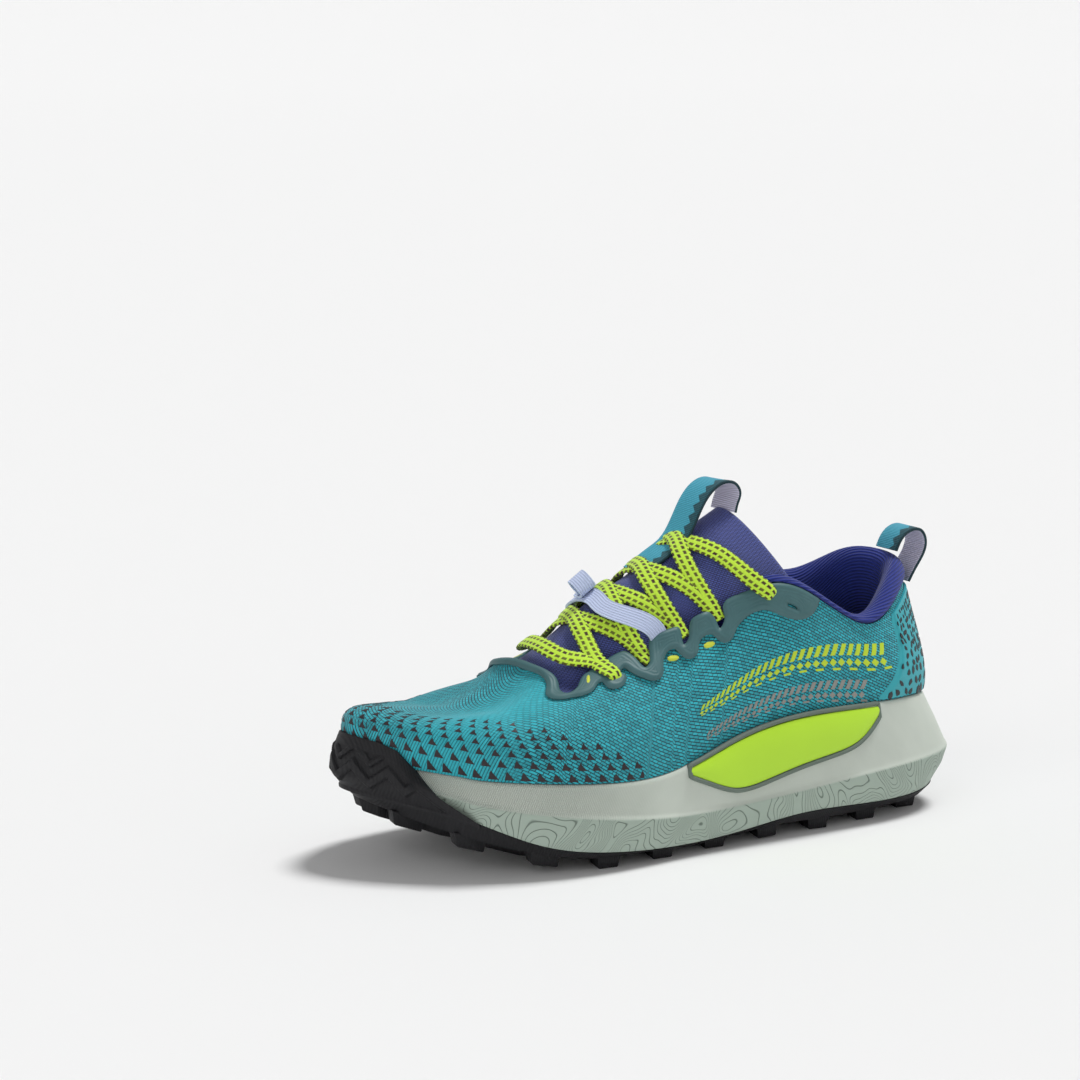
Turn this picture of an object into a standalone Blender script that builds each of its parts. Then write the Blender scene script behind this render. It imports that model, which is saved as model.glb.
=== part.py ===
"""Trail running shoe for the left foot, standing empty on its sole.

Frame: +X from heel to toe, +Y to the outer side, +Z up. The origin is on the floor under the
middle of the shoe. Every table of sections holds shares of the named sizes. A row of SOLE or
UPPER is a place on the way round the shoe: from the back of the heel along the outer side to
the toe, and back along the inner side.
"""
import math

import bmesh
import bpy
import numpy as np

# Overall sizes, in metres
LENGTH = 0.300
BALL_WIDTH = 0.115
SOLE_HEIGHT = 0.050
UPPER_RISE = 0.071
CLEARANCE = 0.0003

# Sole
FLARE = 0.010
TOE_SPRING = 0.027
ARCH_LIFT = 0.001
LUG_HEIGHT = 0.0042
LUG_BITE = 0.0008
LUG_LENGTH = 0.0090
LUG_WIDTH = 0.0130
LUG_PITCH = 0.0287
LUG_TAPER = 0.86
CHEVRON_WIDTH = 0.030
CHEVRON_ARM = 0.0065
PLATE = 0.0030
PLATE_LEAST = 0.0016
RIDGE_STEP = 0.0011
BUMPER_WALL = 0.0022
BUMPER_RISE = 0.0080
BUMPER_GAP = 0.0009
THINNEST = 0.0008
SHELF_EDGE = 0.0009
FOOTBED_DISH = 0.0025
INSOLE = 0.0042
INSOLE_SIDE_GAP = 0.0010
FOAM_OVERHANG = 0.0020

# Side pad in its pocket of the midsole
PAD_POCKET = 0.0026
PAD_CROWN = 0.0030
PAD_DEPTH = 0.0220
PAD_LIP = 0.0016

# Upper and what lies on it
WALL = 0.0020
SETBACK = 0.0070
EYESTAY = 0.0012
BAND = 0.0115
LOBE = 0.0085
LOBE_REACH = 0.0085
NOTCH_REACH = 0.0080
NOTCH = 0.0060
FRONT_BAND = 0.0050
COUNTER = 0.0008
COLLAR_PAD = 0.0085
COLLAR_ROWS = 4
COLLAR_ROLL = 0.0105
TONGUE = 0.0050
TONGUE_GAP = 0.0012

# Webbing, elastic and lace
LOOP_WIDTH = 0.0170
LOOP_THICK = 0.0014
HEEL_LOOP_SIZE = 0.0125
TONGUE_LOOP_SIZE = 0.0150
TONGUE_LOOP_FOOT = 0.044
KEEPER_WIDTH = 0.0130
KEEPER_THICK = 0.0012
LACE_WIDTH = 0.0062
LACE_THICK = 0.0020
EYELET_DEPTH = 0.0112

# Sections across the instep lean back: run over rise
INSTEP_LEAN = 0.68

# How finely the forms are divided
AROUND = 64
UP_WALL = 7

# Sole sections. along: share of LENGTH; across: share of BALL_WIDTH, both of the ridge line.
# split, ridge, top: heights as shares of SOLE_HEIGHT. top_in, split_in, ground_in: how far the
# top edge, the foot of the foam and the tread edge lie inside the ridge, shares of FLARE.
SOLE = np.array([
    # along, across, split, ridge, top, top_in, split_in, ground_in
    (-0.510, -0.010, 0.25, 0.56, 1.06, 1.50, 0.95, 1.45),
    (-0.490, 0.195, 0.23, 0.56, 1.07, 1.25, 0.80, 1.25),
    (-0.412, 0.322, 0.20, 0.54, 1.09, 0.80, 0.45, 0.95),
    (-0.307, 0.370, 0.20, 0.50, 1.11, 0.50, 0.30, 0.75),
    (-0.183, 0.395, 0.21, 0.44, 1.11, 0.45, 0.25, 0.50),
    (-0.067, 0.420, 0.14, 0.40, 0.99, 0.42, 0.25, 0.50),
    (0.040, 0.460, 0.12, 0.40, 0.79, 0.38, 0.25, 0.50),
    (0.160, 0.500, 0.17, 0.48, 0.77, 0.30, 0.25, 0.60),
    (0.273, 0.457, 0.29, 0.58, 0.82, 0.30, 0.25, 0.50),
    (0.373, 0.330, 0.54, 0.70, 0.87, 0.40, 0.20, 0.50),
    (0.453, 0.113, 0.66, 0.82, 0.94, 0.70, 0.30, 0.70),
    (0.493, -0.135, 0.70, 0.84, 0.96, 0.85, 0.40, 0.90),
    (0.454, -0.305, 0.64, 0.80, 0.92, 0.55, 0.30, 0.70),
    (0.393, -0.420, 0.52, 0.72, 0.88, 0.40, 0.25, 0.50),
    (0.300, -0.495, 0.32, 0.60, 0.84, 0.30, 0.25, 0.50),
    (0.167, -0.490, 0.18, 0.50, 0.80, 0.30, 0.25, 0.60),
    (0.033, -0.410, 0.14, 0.42, 0.83, 0.35, 0.25, 0.50),
    (-0.100, -0.340, 0.16, 0.43, 0.92, 0.35, 0.25, 0.45),
    (-0.233, -0.335, 0.21, 0.48, 1.04, 0.40, 0.30, 0.50),
    (-0.367, -0.320, 0.20, 0.53, 1.09, 0.55, 0.40, 0.75),
    (-0.463, -0.200, 0.22, 0.55, 1.07, 0.95, 0.70, 1.15),
])

# Upper sections, in the same places. along, across: where the top edge lies, shares of LENGTH
# and BALL_WIDTH; up: its height over the sole as a share of UPPER_RISE. rise, lean: how far the
# wall starts up and out from the sole; out, down: how it arrives at the top edge. These four
# are shares of UPPER_RISE.
UPPER = np.array([
    # along, across, up, rise, lean, out, down
    (-0.437, 0.000, 0.80, 0.21, 0.07, 0.05, 0.28),
    (-0.420, 0.120, 0.76, 0.21, 0.05, 0.06, 0.25),
    (-0.363, 0.243, 0.63, 0.20, 0.04, 0.07, 0.20),
    (-0.293, 0.300, 0.61, 0.20, 0.04, 0.06, 0.20),
    (-0.183, 0.304, 0.88, 0.25, 0.02, 0.07, 0.30),
    (-0.097, 0.265, 0.86, 0.28, 0.03, 0.10, 0.28),
    (-0.010, 0.230, 0.69, 0.30, 0.04, 0.14, 0.22),
    (0.093, 0.204, 0.54, 0.33, 0.06, 0.20, 0.16),
    (0.173, 0.217, 0.39, 0.36, 0.09, 0.24, 0.10),
    (0.197, 0.157, 0.44, 0.46, 0.13, 0.36, 0.25),
    (0.210, 0.070, 0.48, 0.60, 0.14, 0.48, 0.56),
    (0.220, -0.026, 0.49, 0.64, 0.10, 0.50, 0.60),
    (0.227, -0.104, 0.47, 0.60, 0.14, 0.48, 0.58),
    (0.220, -0.183, 0.42, 0.38, 0.13, 0.36, 0.30),
    (0.193, -0.235, 0.36, 0.31, 0.08, 0.26, 0.12),
    (0.100, -0.217, 0.55, 0.33, 0.05, 0.20, 0.16),
    (-0.010, -0.230, 0.70, 0.30, 0.03, 0.12, 0.22),
    (-0.100, -0.252, 0.89, 0.28, 0.02, 0.08, 0.26),
    (-0.190, -0.287, 0.90, 0.25, 0.02, 0.06, 0.28),
    (-0.317, -0.287, 0.71, 0.21, 0.04, 0.05, 0.22),
    (-0.403, -0.174, 0.81, 0.21, 0.05, 0.05, 0.24),
])

# Footbed height over the tread's rise, at stations along the shoe: shares of SOLE_HEIGHT
FOOTBED = np.array([
    # along, height
    (-0.50, 0.78),
    (-0.25, 0.75),
    (0.00, 0.65),
    (0.17, 0.58),
    (0.33, 0.50),
    (0.50, 0.34),
])

# Tongue ridge. along: share of LENGTH; up: height over the sole, half_width: both shares of
# UPPER_RISE.
TONGUE_LINE = np.array([
    # along, up, half_width
    (0.245, 0.34, 0.33),
    (0.213, 0.44, 0.39),
    (0.167, 0.57, 0.41),
    (0.100, 0.79, 0.40),
    (0.033, 0.945, 0.41),
    (-0.033, 1.12, 0.41),
    (-0.120, 1.34, 0.37),
])

# Side pad: how deep it hangs below the top of the foam, as a share of PAD_DEPTH
SIDE_PAD = np.array([
    # along, depth
    (-0.330, 0.16),
    (-0.300, 0.52),
    (-0.245, 0.80),
    (-0.180, 0.92),
    (-0.110, 1.00),
    (-0.055, 0.86),
    (-0.015, 0.48),
    (0.022, 0.10),
])

# Heel loop: steps from its seat on the collar lining, shares of HEEL_LOOP_SIZE
HEEL_LOOP = np.array([
    # forward, outward, up
    (0.00, 0.0, 0.00),
    (-0.22, 0.0, 0.42),
    (-0.62, 0.0, 0.72),
    (-1.08, 0.0, 0.70),
    (-1.30, 0.0, 0.30),
])

# Tongue loop: steps from the tip of the tongue's ridge, shares of TONGUE_LOOP_SIZE
TONGUE_LOOP = np.array([
    # forward, up
    (1.10, -0.01),
    (0.61, 0.65),
    (0.23, 0.83),
    (-0.13, 0.76),
    (-0.30, 0.46),
    (-0.22, 0.20),
])

# Places along the shoe, shares of LENGTH
LOBES = (0.040, -0.023, -0.080)
LOBE_DEPTHS = (1.25, 1.0, 1.0)
FRONT_EYELET = 0.112
REAR_PLATE = -0.170
EYESTAY_END = -0.222
COLLAR_FRONT = -0.128
THROAT_CORNER = 0.165
FIRST_LUG = -0.417
LAST_LUG = 0.412
BUMPER_START = 0.395
BUMPER_BED = (0.352, 0.384)
COUNTER_TOP = -0.420
COUNTER_FOOT = -0.330
KEEPER = 0.100

# Rings of the foam's side that the bumper's crest climbs at its ends
BUMPER_RUNGS = (0, 1, 3, 4, 6)

# Ends of the lace runs: place along the throat's edge, a share of LENGTH, and whether the lace
# lies over the eyestay to an eyelet or passes under its edge
LACE_ENDS = {
    "front": (0.125, True),
    "one": (LOBES[0], False),
    "two": (LOBES[1], False),
    "three": (LOBES[2], False),
    "top": (-0.135, True),
}
LACE_RUNS = (
    ("front", "front"), ("front", "one"), ("one", "front"), ("one", "two"), ("two", "one"),
    ("two", "three"), ("three", "two"), ("three", "top"), ("top", "three"),
)
FRONT_BAR_BOW = 0.008
LACE_TUCK = 0.0045
LACE_SWING = math.radians(42)
KEEPER_SWING = math.radians(47)


def spline(where, values, closed=False):
    """A curve with steady bending through the rows, as a function of the place along it."""
    values = np.asarray(values, float)
    count = len(where)
    if closed:
        where = np.append(where, where[0] + 1.0)
        values = np.vstack([values, values[:1]])
    step = np.diff(where)
    slope = np.diff(values, axis=0) / step[:, None]
    system = np.zeros((count, count))
    load = np.zeros((count, values.shape[1]))
    for i in range(count):
        if not closed and i in (0, count - 1):
            system[i, i] = 1.0
            continue
        before = step[i - 1]
        after = step[i]
        system[i, i - 1] += before
        system[i, i] += 2 * (before + after)
        system[i, (i + 1) % count] += after
        load[i] = 6 * (slope[i] - slope[i - 1])
    bend = np.linalg.solve(system, load)
    if closed:
        bend = np.vstack([bend, bend[:1]])

    def curve(place):
        place = np.atleast_1d(np.asarray(place, float))
        if closed:
            place = where[0] + (place - where[0]) % 1.0
        i = np.clip(np.searchsorted(where, place, side="right") - 1, 0, len(step) - 1)
        width = step[i]
        a = ((where[i + 1] - place) / width)[:, None]
        b = ((place - where[i]) / width)[:, None]
        cubic = (a ** 3 - a) * bend[i] + (b ** 3 - b) * bend[i + 1]
        return a * values[i] + b * values[i + 1] + cubic * (width ** 2)[:, None] / 6

    return curve


def smooth(share):
    """0 below 0, 1 above 1, and an even curve between."""
    share = np.clip(share, 0.0, 1.0)
    return share * share * (3 - 2 * share)


def unit(vectors):
    return vectors / np.maximum(np.linalg.norm(vectors, axis=-1, keepdims=True), 1e-12)


def around_places():
    """How far round the rim each row lies, by the length of the ridge line."""
    ridge = SOLE[:, :2] * (LENGTH, BALL_WIDTH)
    chords = np.linalg.norm(np.diff(np.vstack([ridge, ridge[:1]]), axis=0), axis=1)
    total = np.concatenate([[0.0], np.cumsum(chords)])
    return total[:-1] / total[-1]


PLACES = around_places()
SOLE_CURVE = spline(PLACES, SOLE, closed=True)
UPPER_CURVE = spline(PLACES, UPPER, closed=True)
FOOTBED_CURVE = spline(FOOTBED[:, 0], FOOTBED[:, 1:])
TOE = PLACES[11]


def spring(x):
    """How far the tread is lifted off the floor: under the toe and a little under the arch."""
    start = 0.16 * LENGTH
    toe = np.clip((x - start) / (0.487 * LENGTH - start), 0.0, 1.2) ** 1.6
    arch = np.clip(1 - np.abs(x + 0.155 * LENGTH) / (0.10 * LENGTH), 0.0, 1.0)
    return TOE_SPRING * toe + ARCH_LIFT * smooth(arch)


def side_place(x, inner=False):
    """The place round the rim where the ridge line passes this x."""
    if inner:
        around = np.linspace(TOE, 1.0, 400)
        line = SOLE_CURVE(around)[:, 0] * LENGTH
        return float(np.interp(-x, -line, around))
    around = np.linspace(0.0, TOE, 400)
    return float(np.interp(x, SOLE_CURVE(around)[:, 0] * LENGTH, around))


def edge_place(x, inner=False):
    """The place round the rim where the top edge of the upper passes this x."""
    ends = (PLACES[14], PLACES[20]) if inner else (PLACES[1], PLACES[8])
    around = np.linspace(ends[0], ends[1], 400)
    line = UPPER_CURVE(around)[:, 0] * LENGTH
    if inner:
        return float(np.interp(-x, -line, around))
    return float(np.interp(x, line, around))


def ridge_line(around):
    """Points of the ridge line in plan, and the outward direction there."""
    step = 1e-4
    points = SOLE_CURVE(around)[:, :2] * (LENGTH, BALL_WIDTH)
    ahead = SOLE_CURVE(around + step)[:, :2] * (LENGTH, BALL_WIDTH)
    behind = SOLE_CURVE(around - step)[:, :2] * (LENGTH, BALL_WIDTH)
    way = unit(ahead - behind)
    return points, np.stack([-way[:, 1], way[:, 0]], axis=1)


def ring(around, inset, height):
    """A ring of points inside the ridge line."""
    points, out = ridge_line(around)
    plan = points - out * np.asarray(inset)[:, None]
    return np.column_stack([plan, height])


def under_bumper(around):
    """1 where the toe bumper covers the foam, 0 elsewhere."""
    start, full = (share * LENGTH for share in BUMPER_BED)
    x = SOLE_CURVE(around)[:, 0] * LENGTH
    return smooth((x - start) / (full - start))


def side_rings(around):
    """Foam side from its foot to its top edge: inset and height of each ring."""
    columns = SOLE_CURVE(around)
    split, ridge, top = (columns[:, i] * SOLE_HEIGHT for i in (2, 3, 4))
    top_in = columns[:, 5] * FLARE
    split_in = columns[:, 6] * FLARE
    bed = under_bumper(around) * (BUMPER_WALL + CLEARANCE)
    half_step = RIDGE_STEP / 2
    return [
        (split_in + bed, split),
        (0.32 * split_in + bed, 0.5 * (split + ridge)),
        (bed, ridge - half_step),
        (np.minimum(RIDGE_STEP, top_in) + bed, ridge + half_step),
        (0.45 * top_in + 0.5 * RIDGE_STEP + bed, 0.5 * (ridge + top)),
        (np.maximum(top_in - SHELF_EDGE / 2, 0) + bed, top - SHELF_EDGE),
        (top_in + SHELF_EDGE / 2 + bed, top),
    ]


def side_inset(around, height):
    """Inset of the foam side at a height, between the rings."""
    rings = side_rings(around)
    result = np.zeros(len(around))
    for k in range(len(around)):
        heights = [level[k] for _, level in rings]
        insets = [inset[k] for inset, _ in rings]
        result[k] = np.interp(height[k], heights, insets)
    return result


def feather(around):
    """Bottom edge of the upper's outer face, on the shelf of the foam."""
    columns = SOLE_CURVE(around)
    bed = under_bumper(around) * (BUMPER_WALL + CLEARANCE)
    inset = columns[:, 5] * FLARE + SHELF_EDGE + bed
    return ring(around, inset, columns[:, 4] * SOLE_HEIGHT + CLEARANCE)


def shell(around, share):
    """Outer face of the upper: share 0 at the sole, 1 at the top edge."""
    around = np.atleast_1d(np.asarray(around, float))
    share = np.broadcast_to(np.asarray(share, float), around.shape)[:, None]
    columns = UPPER_CURVE(around)
    _, out = ridge_line(around)
    foot = feather(around)
    edge = columns[:, :3] * (LENGTH, BALL_WIDTH, UPPER_RISE) + (0, 0, SOLE_HEIGHT)
    rise, lean, away, down = (columns[:, i, None] * UPPER_RISE for i in (3, 4, 5, 6))
    flat_out = np.column_stack([out, np.zeros(len(out))])
    reach = foot - edge
    reach[:, 2] = 0
    toward = unit(reach + flat_out * 0.2 * UPPER_RISE)
    up = np.array([0.0, 0.0, 1.0])
    low = foot + flat_out * lean + up * rise
    high = edge + toward * away - up * down
    rest = 1 - share
    return rest ** 3 * foot + 3 * rest ** 2 * share * low + 3 * rest * share ** 2 * high + share ** 3 * edge


def shell_normal(around, share):
    """Outward direction of the upper's outer face."""
    around = np.atleast_1d(np.asarray(around, float))
    share = np.broadcast_to(np.asarray(share, float), around.shape)
    step = 1e-4
    along = shell(around + step, share) - shell(around - step, share)
    upward = shell(around, share + step) - shell(around, share - step)
    return unit(np.cross(upward, along))


def face_normal(around, share):
    """Outward direction of the upper's outer face, level at the sole."""
    normal = shell_normal(around, share)
    normal[:, 2] *= smooth(np.broadcast_to(share, normal[:, 0].shape) / 0.12)
    return unit(normal)


def shell_at(around, share, offset):
    """A point off the upper's outer face."""
    return shell(around, share) + face_normal(around, share) * np.asarray(offset)[..., None]


def share_below(around, distance):
    """The share at which the upper lies this far below its top edge, along the wall."""
    shares = np.linspace(1.0, 0.0, 41)
    result = np.zeros(len(around))
    for k, place in enumerate(around):
        line = shell(np.full(41, place), shares)
        run = np.concatenate([[0.0], np.cumsum(np.linalg.norm(np.diff(line, axis=0), axis=1))])
        result[k] = np.interp(np.atleast_1d(distance)[k % np.size(distance)], run, shares)
    return result


def bump(x, centre, reach):
    """1 at the centre, 0 beyond its reach on either side."""
    return smooth(1 - np.abs(x - centre) / reach)


def throat_share(around):
    """1 along the lace throat, 0 round the collar."""
    front = COLLAR_FRONT * LENGTH
    x = UPPER_CURVE(around)[:, 0] * LENGTH
    return smooth((x - front) / (0.05 * LENGTH))


def front_share(around):
    """1 across the front of the throat, 0 along its sides."""
    corner = THROAT_CORNER * LENGTH
    x = UPPER_CURVE(around)[:, 0] * LENGTH
    return smooth((x - corner) / (0.03 * LENGTH))


def eyestay_edges(around):
    """Distance of the eyestay's inner and outer edge from the throat line."""
    x = UPPER_CURVE(around)[:, 0] * LENGTH
    front = front_share(around)
    inner = np.zeros(len(x))
    outer = BAND * (1 - front) + FRONT_BAND * front
    for place, depth in zip(LOBES, LOBE_DEPTHS):
        inner += NOTCH * bump(x, place * LENGTH, NOTCH_REACH)
        outer += LOBE * depth * bump(x, place * LENGTH, LOBE_REACH)
    outer += 0.35 * LOBE * bump(x, FRONT_EYELET * LENGTH, 0.035 * LENGTH)
    outer += 0.85 * LOBE * bump(x, REAR_PLATE * LENGTH, 0.055 * LENGTH)
    end = smooth((x - EYESTAY_END * LENGTH) / (0.035 * LENGTH))
    return inner, np.maximum(outer * end, 0.0015)


def rim_steps():
    return np.arange(AROUND) / AROUND


def rim_range(start, end):
    """The shared steps round the rim between two places, both ends included."""
    inside = np.arange(math.ceil(start * AROUND + 0.2), math.floor(end * AROUND - 0.2) + 1) / AROUND
    return np.concatenate([[start], inside, [end]])


def rim_shares(around):
    """Share at which the upper ends: at the collar's edge, or set back under the eyestay."""
    front = front_share(around)
    back = SETBACK * throat_share(around) * (1 - front) + 0.25 * FRONT_BAND * front
    return share_below(around, np.maximum(back, 1e-5))


def facet_rows():
    """The upper's rim shares and its rows of outer corners."""
    around = rim_steps()
    tops = rim_shares(around)
    rows = [shell(around, tops * k / UP_WALL) for k in range(UP_WALL + 1)]
    return tops, np.array(rows)


def on_facets(around, share, offset):
    """A point off the flat facets of the upper, or off the shell where the upper has ended."""
    tops, rows = FACETS
    column = (np.asarray(around) % 1.0) * AROUND
    i = column.astype(int) % AROUND
    j = (i + 1) % AROUND
    aside = (column - column.astype(int))[:, None]
    top = tops[i] * (1 - aside[:, 0]) + tops[j] * aside[:, 0]
    row = np.clip(share / top, 0.0, 1.0) * UP_WALL
    k = np.minimum(row.astype(int), UP_WALL - 1)
    above = (row - k)[:, None]
    low = rows[k, i] * (1 - aside) + rows[k, j] * aside
    high = rows[k + 1, i] * (1 - aside) + rows[k + 1, j] * aside
    beyond = shell(around, share) - shell(around, np.minimum(share, top))
    return low * (1 - above) + high * above + beyond + face_normal(around, share) * offset


FACETS = facet_rows()


def foam_rows(around):
    """The foam's side rings at places between the shared steps, on its flat facets."""
    steps = rim_steps()
    column = (around % 1.0) * AROUND + 1e-9
    i = column.astype(int) % AROUND
    aside = (column - column.astype(int))[:, None]
    rows = []
    for inset, height in side_rings(steps):
        line = ring(steps, inset, height)
        rows.append(line[i] * (1 - aside) + line[(i + 1) % AROUND] * aside)
    return rows


def at_height(rows, height):
    """Points of stacked rows at the given heights."""
    rows = np.array(rows)
    points = np.zeros((rows.shape[1], 3))
    for k in range(rows.shape[1]):
        for axis in range(3):
            points[k, axis] = np.interp(height[k], rows[:, k, 2], rows[:, k, axis])
    return points


def middle_of_sole():
    """Middle of the ridge line's box in plan, which becomes the origin."""
    plan = SOLE_CURVE(np.linspace(0.0, 1.0, 720))[:, :2] * (LENGTH, BALL_WIDTH)
    return 0.5 * (plan.min(axis=0) + plan.max(axis=0))


def placed(name, mesh):
    """A linked object, moved so that the middle of the sole is over the origin."""
    thing = bpy.data.objects.new(name, mesh)
    thing.location = (*(-middle_of_sole()), 0.0)
    bpy.context.scene.collection.objects.link(thing)
    return thing


def new_object(name, mesh, colour, roughness):
    thing = placed(name, mesh)
    material = bpy.data.materials.new(name)
    material.use_nodes = True
    surface = material.node_tree.nodes["Principled BSDF"]
    surface.inputs["Base Color"].default_value = (*colour, 1.0)
    surface.inputs["Roughness"].default_value = roughness
    surface.inputs["Metallic"].default_value = 0.0
    mesh.materials.append(material)
    mesh.shade_smooth()
    mesh.set_sharp_from_angle(angle=math.radians(40))
    return thing


def finish_mesh(bm, name):
    bmesh.ops.recalc_face_normals(bm, faces=bm.faces)
    mesh = bpy.data.meshes.new(name)
    bm.to_mesh(mesh)
    bm.free()
    return mesh


def add_loops(bm, loops, closed):
    """Quads between neighbouring loops of points. Closed joins the last loop to the first."""
    verts = [[bm.verts.new(point) for point in loop] for loop in loops]
    pairs = list(zip(verts, verts[1:]))
    if closed:
        pairs.append((verts[-1], verts[0]))
    for one, two in pairs:
        for i in range(len(one)):
            j = (i + 1) % len(one)
            bm.faces.new((one[i], one[j], two[j], two[i]))
    return verts


def swept(name, loops, closed=False):
    """A solid swept through section loops, with flat ends unless it closes on itself."""
    bm = bmesh.new()
    verts = add_loops(bm, loops, closed)
    if not closed:
        bm.faces.new(verts[0])
        bm.faces.new(verts[-1])
    return finish_mesh(bm, name)


def ladder(bm, verts, dish, steps):
    """Closes a ring with rungs from its outer to its inner side."""
    count = len(verts)
    half = count // 2
    rungs = []
    for i in range(1, half):
        one = np.array(verts[i].co)
        two = np.array(verts[count - i].co)
        rung = [verts[i]]
        for k in range(1, steps):
            share = k / steps
            point = one + (two - one) * share
            point[2] += dish(point[0], share)
            rung.append(bm.verts.new(point))
        rung.append(verts[count - i])
        rungs.append(rung)
    for one, two in zip(rungs, rungs[1:]):
        for k in range(steps):
            bm.faces.new((one[k], one[k + 1], two[k + 1], two[k]))
    for k in range(steps):
        bm.faces.new((verts[0], rungs[0][k + 1], rungs[0][k]))
        bm.faces.new((verts[half], rungs[-1][k], rungs[-1][k + 1]))


def stacked(name, rings, low_dish, high_dish):
    """A solid of rings stacked upwards, closed below and above by rungs."""
    bm = bmesh.new()
    verts = add_loops(bm, rings, closed=False)
    for edge, dish in ((verts[0], low_dish), (verts[-1], high_dish)):
        ladder(bm, edge, dish, 1 if dish is flat else 3)
    return finish_mesh(bm, name)


def flat(x, share):
    return 0.0


def footbed_height(x):
    return FOOTBED_CURVE(x / LENGTH)[:, 0] * SOLE_HEIGHT + spring(x)


def cup_inset(around):
    """Inset of the footbed's edge, inside the upper's wall."""
    bed = under_bumper(around) * (BUMPER_WALL + CLEARANCE)
    return SOLE_CURVE(around)[:, 5] * FLARE + SHELF_EDGE + WALL + 2 * CLEARANCE + bed


def sole_dish(x, share):
    """The footbed hangs a little lower in the middle than at its edges."""
    return -FOOTBED_DISH * 4 * share * (1 - share)


def make_midsole():
    around = rim_steps()
    rings = [ring(around, inset, height) for inset, height in side_rings(around)]
    inset = cup_inset(around)
    top = rings[-1][:, 2]
    rings.append(ring(around, inset, top))
    inner = ring(around, inset + INSOLE_SIDE_GAP, top)
    inner[:, 2] = np.minimum(footbed_height(inner[:, 0]) + FOOTBED_DISH, top - FOAM_OVERHANG)
    rings.append(inner)
    mesh = stacked("midsole", rings, flat, sole_dish)
    thing = new_object("midsole", mesh, (0.50, 0.56, 0.49), 0.75)
    pocket = placed("side_pad_pocket", side_pad_mesh(CLEARANCE))
    cut_with(thing, pocket, "DIFFERENCE")


def cut_with(thing, tool, operation):
    tool.hide_render = True
    tool.display_type = "WIRE"
    modifier = thing.modifiers.new(tool.name, "BOOLEAN")
    modifier.operation = operation
    modifier.solver = "EXACT"
    modifier.object = tool


def make_insole():
    around = rim_steps()
    base = ring(around, cup_inset(around) + 2 * INSOLE_SIDE_GAP, np.zeros(AROUND))
    top = SOLE_CURVE(around)[:, 4] * SOLE_HEIGHT
    rim = np.minimum(footbed_height(base[:, 0]) + FOOTBED_DISH, top - FOAM_OVERHANG)
    low = base.copy()
    low[:, 2] = rim + CLEARANCE
    high = base.copy()
    high[:, 2] = rim + INSOLE
    mesh = stacked("insole", [low, high], sole_dish, sole_dish)
    new_object("insole", mesh, (0.05, 0.06, 0.20), 0.9)


def tread_prism(outline, x, y):
    """A lug: its outline in plan, stood between the floor line and the plate."""
    low = []
    high = []
    centre = np.mean(outline, axis=0)
    for point in outline:
        tip = centre + (np.asarray(point) - centre) * LUG_TAPER
        lift = spring(np.array([x + tip[0]]))[0]
        low.append((x + tip[0], y + tip[1], lift))
        high.append((x + point[0], y + point[1], lift + LUG_HEIGHT + LUG_BITE))
    return low, high


def make_outsole():
    around = rim_steps()
    columns = SOLE_CURVE(around)
    bed = under_bumper(around) * (BUMPER_WALL + CLEARANCE)
    split = columns[:, 2] * SOLE_HEIGHT
    split_in = columns[:, 6] * FLARE
    ground_in = columns[:, 7] * FLARE
    tread = ring(around, ground_in, split)
    tread[:, 2] = np.minimum(spring(tread[:, 0]) + LUG_HEIGHT, split - PLATE_LEAST)
    edge = ring(around, split_in - CLEARANCE, split - CLEARANCE)
    high = ring(around, split_in + bed, split - CLEARANCE)
    mesh = stacked("outsole", [tread, edge, high], flat, flat)
    thing = new_object("outsole", mesh, (0.025, 0.025, 0.027), 0.6)
    for name, mesh in (("lugs", lug_mesh()), ("bumper", bumper_mesh())):
        cut_with(thing, placed(name, mesh), "UNION")


def lug_places():
    """Outlines in plan and centres of all the lugs."""
    places = []
    rows = int(0.92 * LENGTH / LUG_PITCH)
    half = LUG_LENGTH / 2
    block = [(-half, -LUG_WIDTH / 2), (half, -LUG_WIDTH / 2), (half, LUG_WIDTH / 2), (-half, LUG_WIDTH / 2)]
    for row in range(rows + 1):
        x = min(FIRST_LUG * LENGTH + row * LUG_PITCH, LAST_LUG * LENGTH)
        outer = min(tread_limit(x - half, False), tread_limit(x + half, False))
        inner = max(tread_limit(x - half, True), tread_limit(x + half, True))
        if outer - inner < 2.2 * LUG_WIDTH:
            continue
        turn = 0.10 * LUG_LENGTH
        places.append(([(a + turn * (1 if b > 0 else -1), b) for a, b in block], x, outer - LUG_WIDTH / 2))
        places.append(([(a + turn * (1 if b < 0 else -1), b) for a, b in block], x, inner + LUG_WIDTH / 2))
        middle = (outer + inner) / 2
        free = outer - inner - 2 * LUG_WIDTH - 0.006
        columns = 2 if free > 1.7 * CHEVRON_WIDTH else 1
        width = min(CHEVRON_WIDTH, free) if columns == 1 else min(CHEVRON_WIDTH, free / 2 - 0.002)
        for column in range(columns):
            shift = 0.0 if columns == 1 else (column - 0.5) * (width + 0.004)
            places.append((chevron(width), x + 0.5 * LUG_PITCH - 0.008, middle + shift))
    return places


def tread_limit(x, inner):
    """Where the tread's edge lies at this x, on the outer or the inner side."""
    around = np.linspace(TOE, 1.0, 200) if inner else np.linspace(0.0, TOE, 200)
    line = ring(around, SOLE_CURVE(around)[:, 7] * FLARE + 0.0006, np.zeros(200))
    order = np.argsort(line[:, 0])
    return float(np.interp(x, line[order, 0], line[order, 1]))


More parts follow.
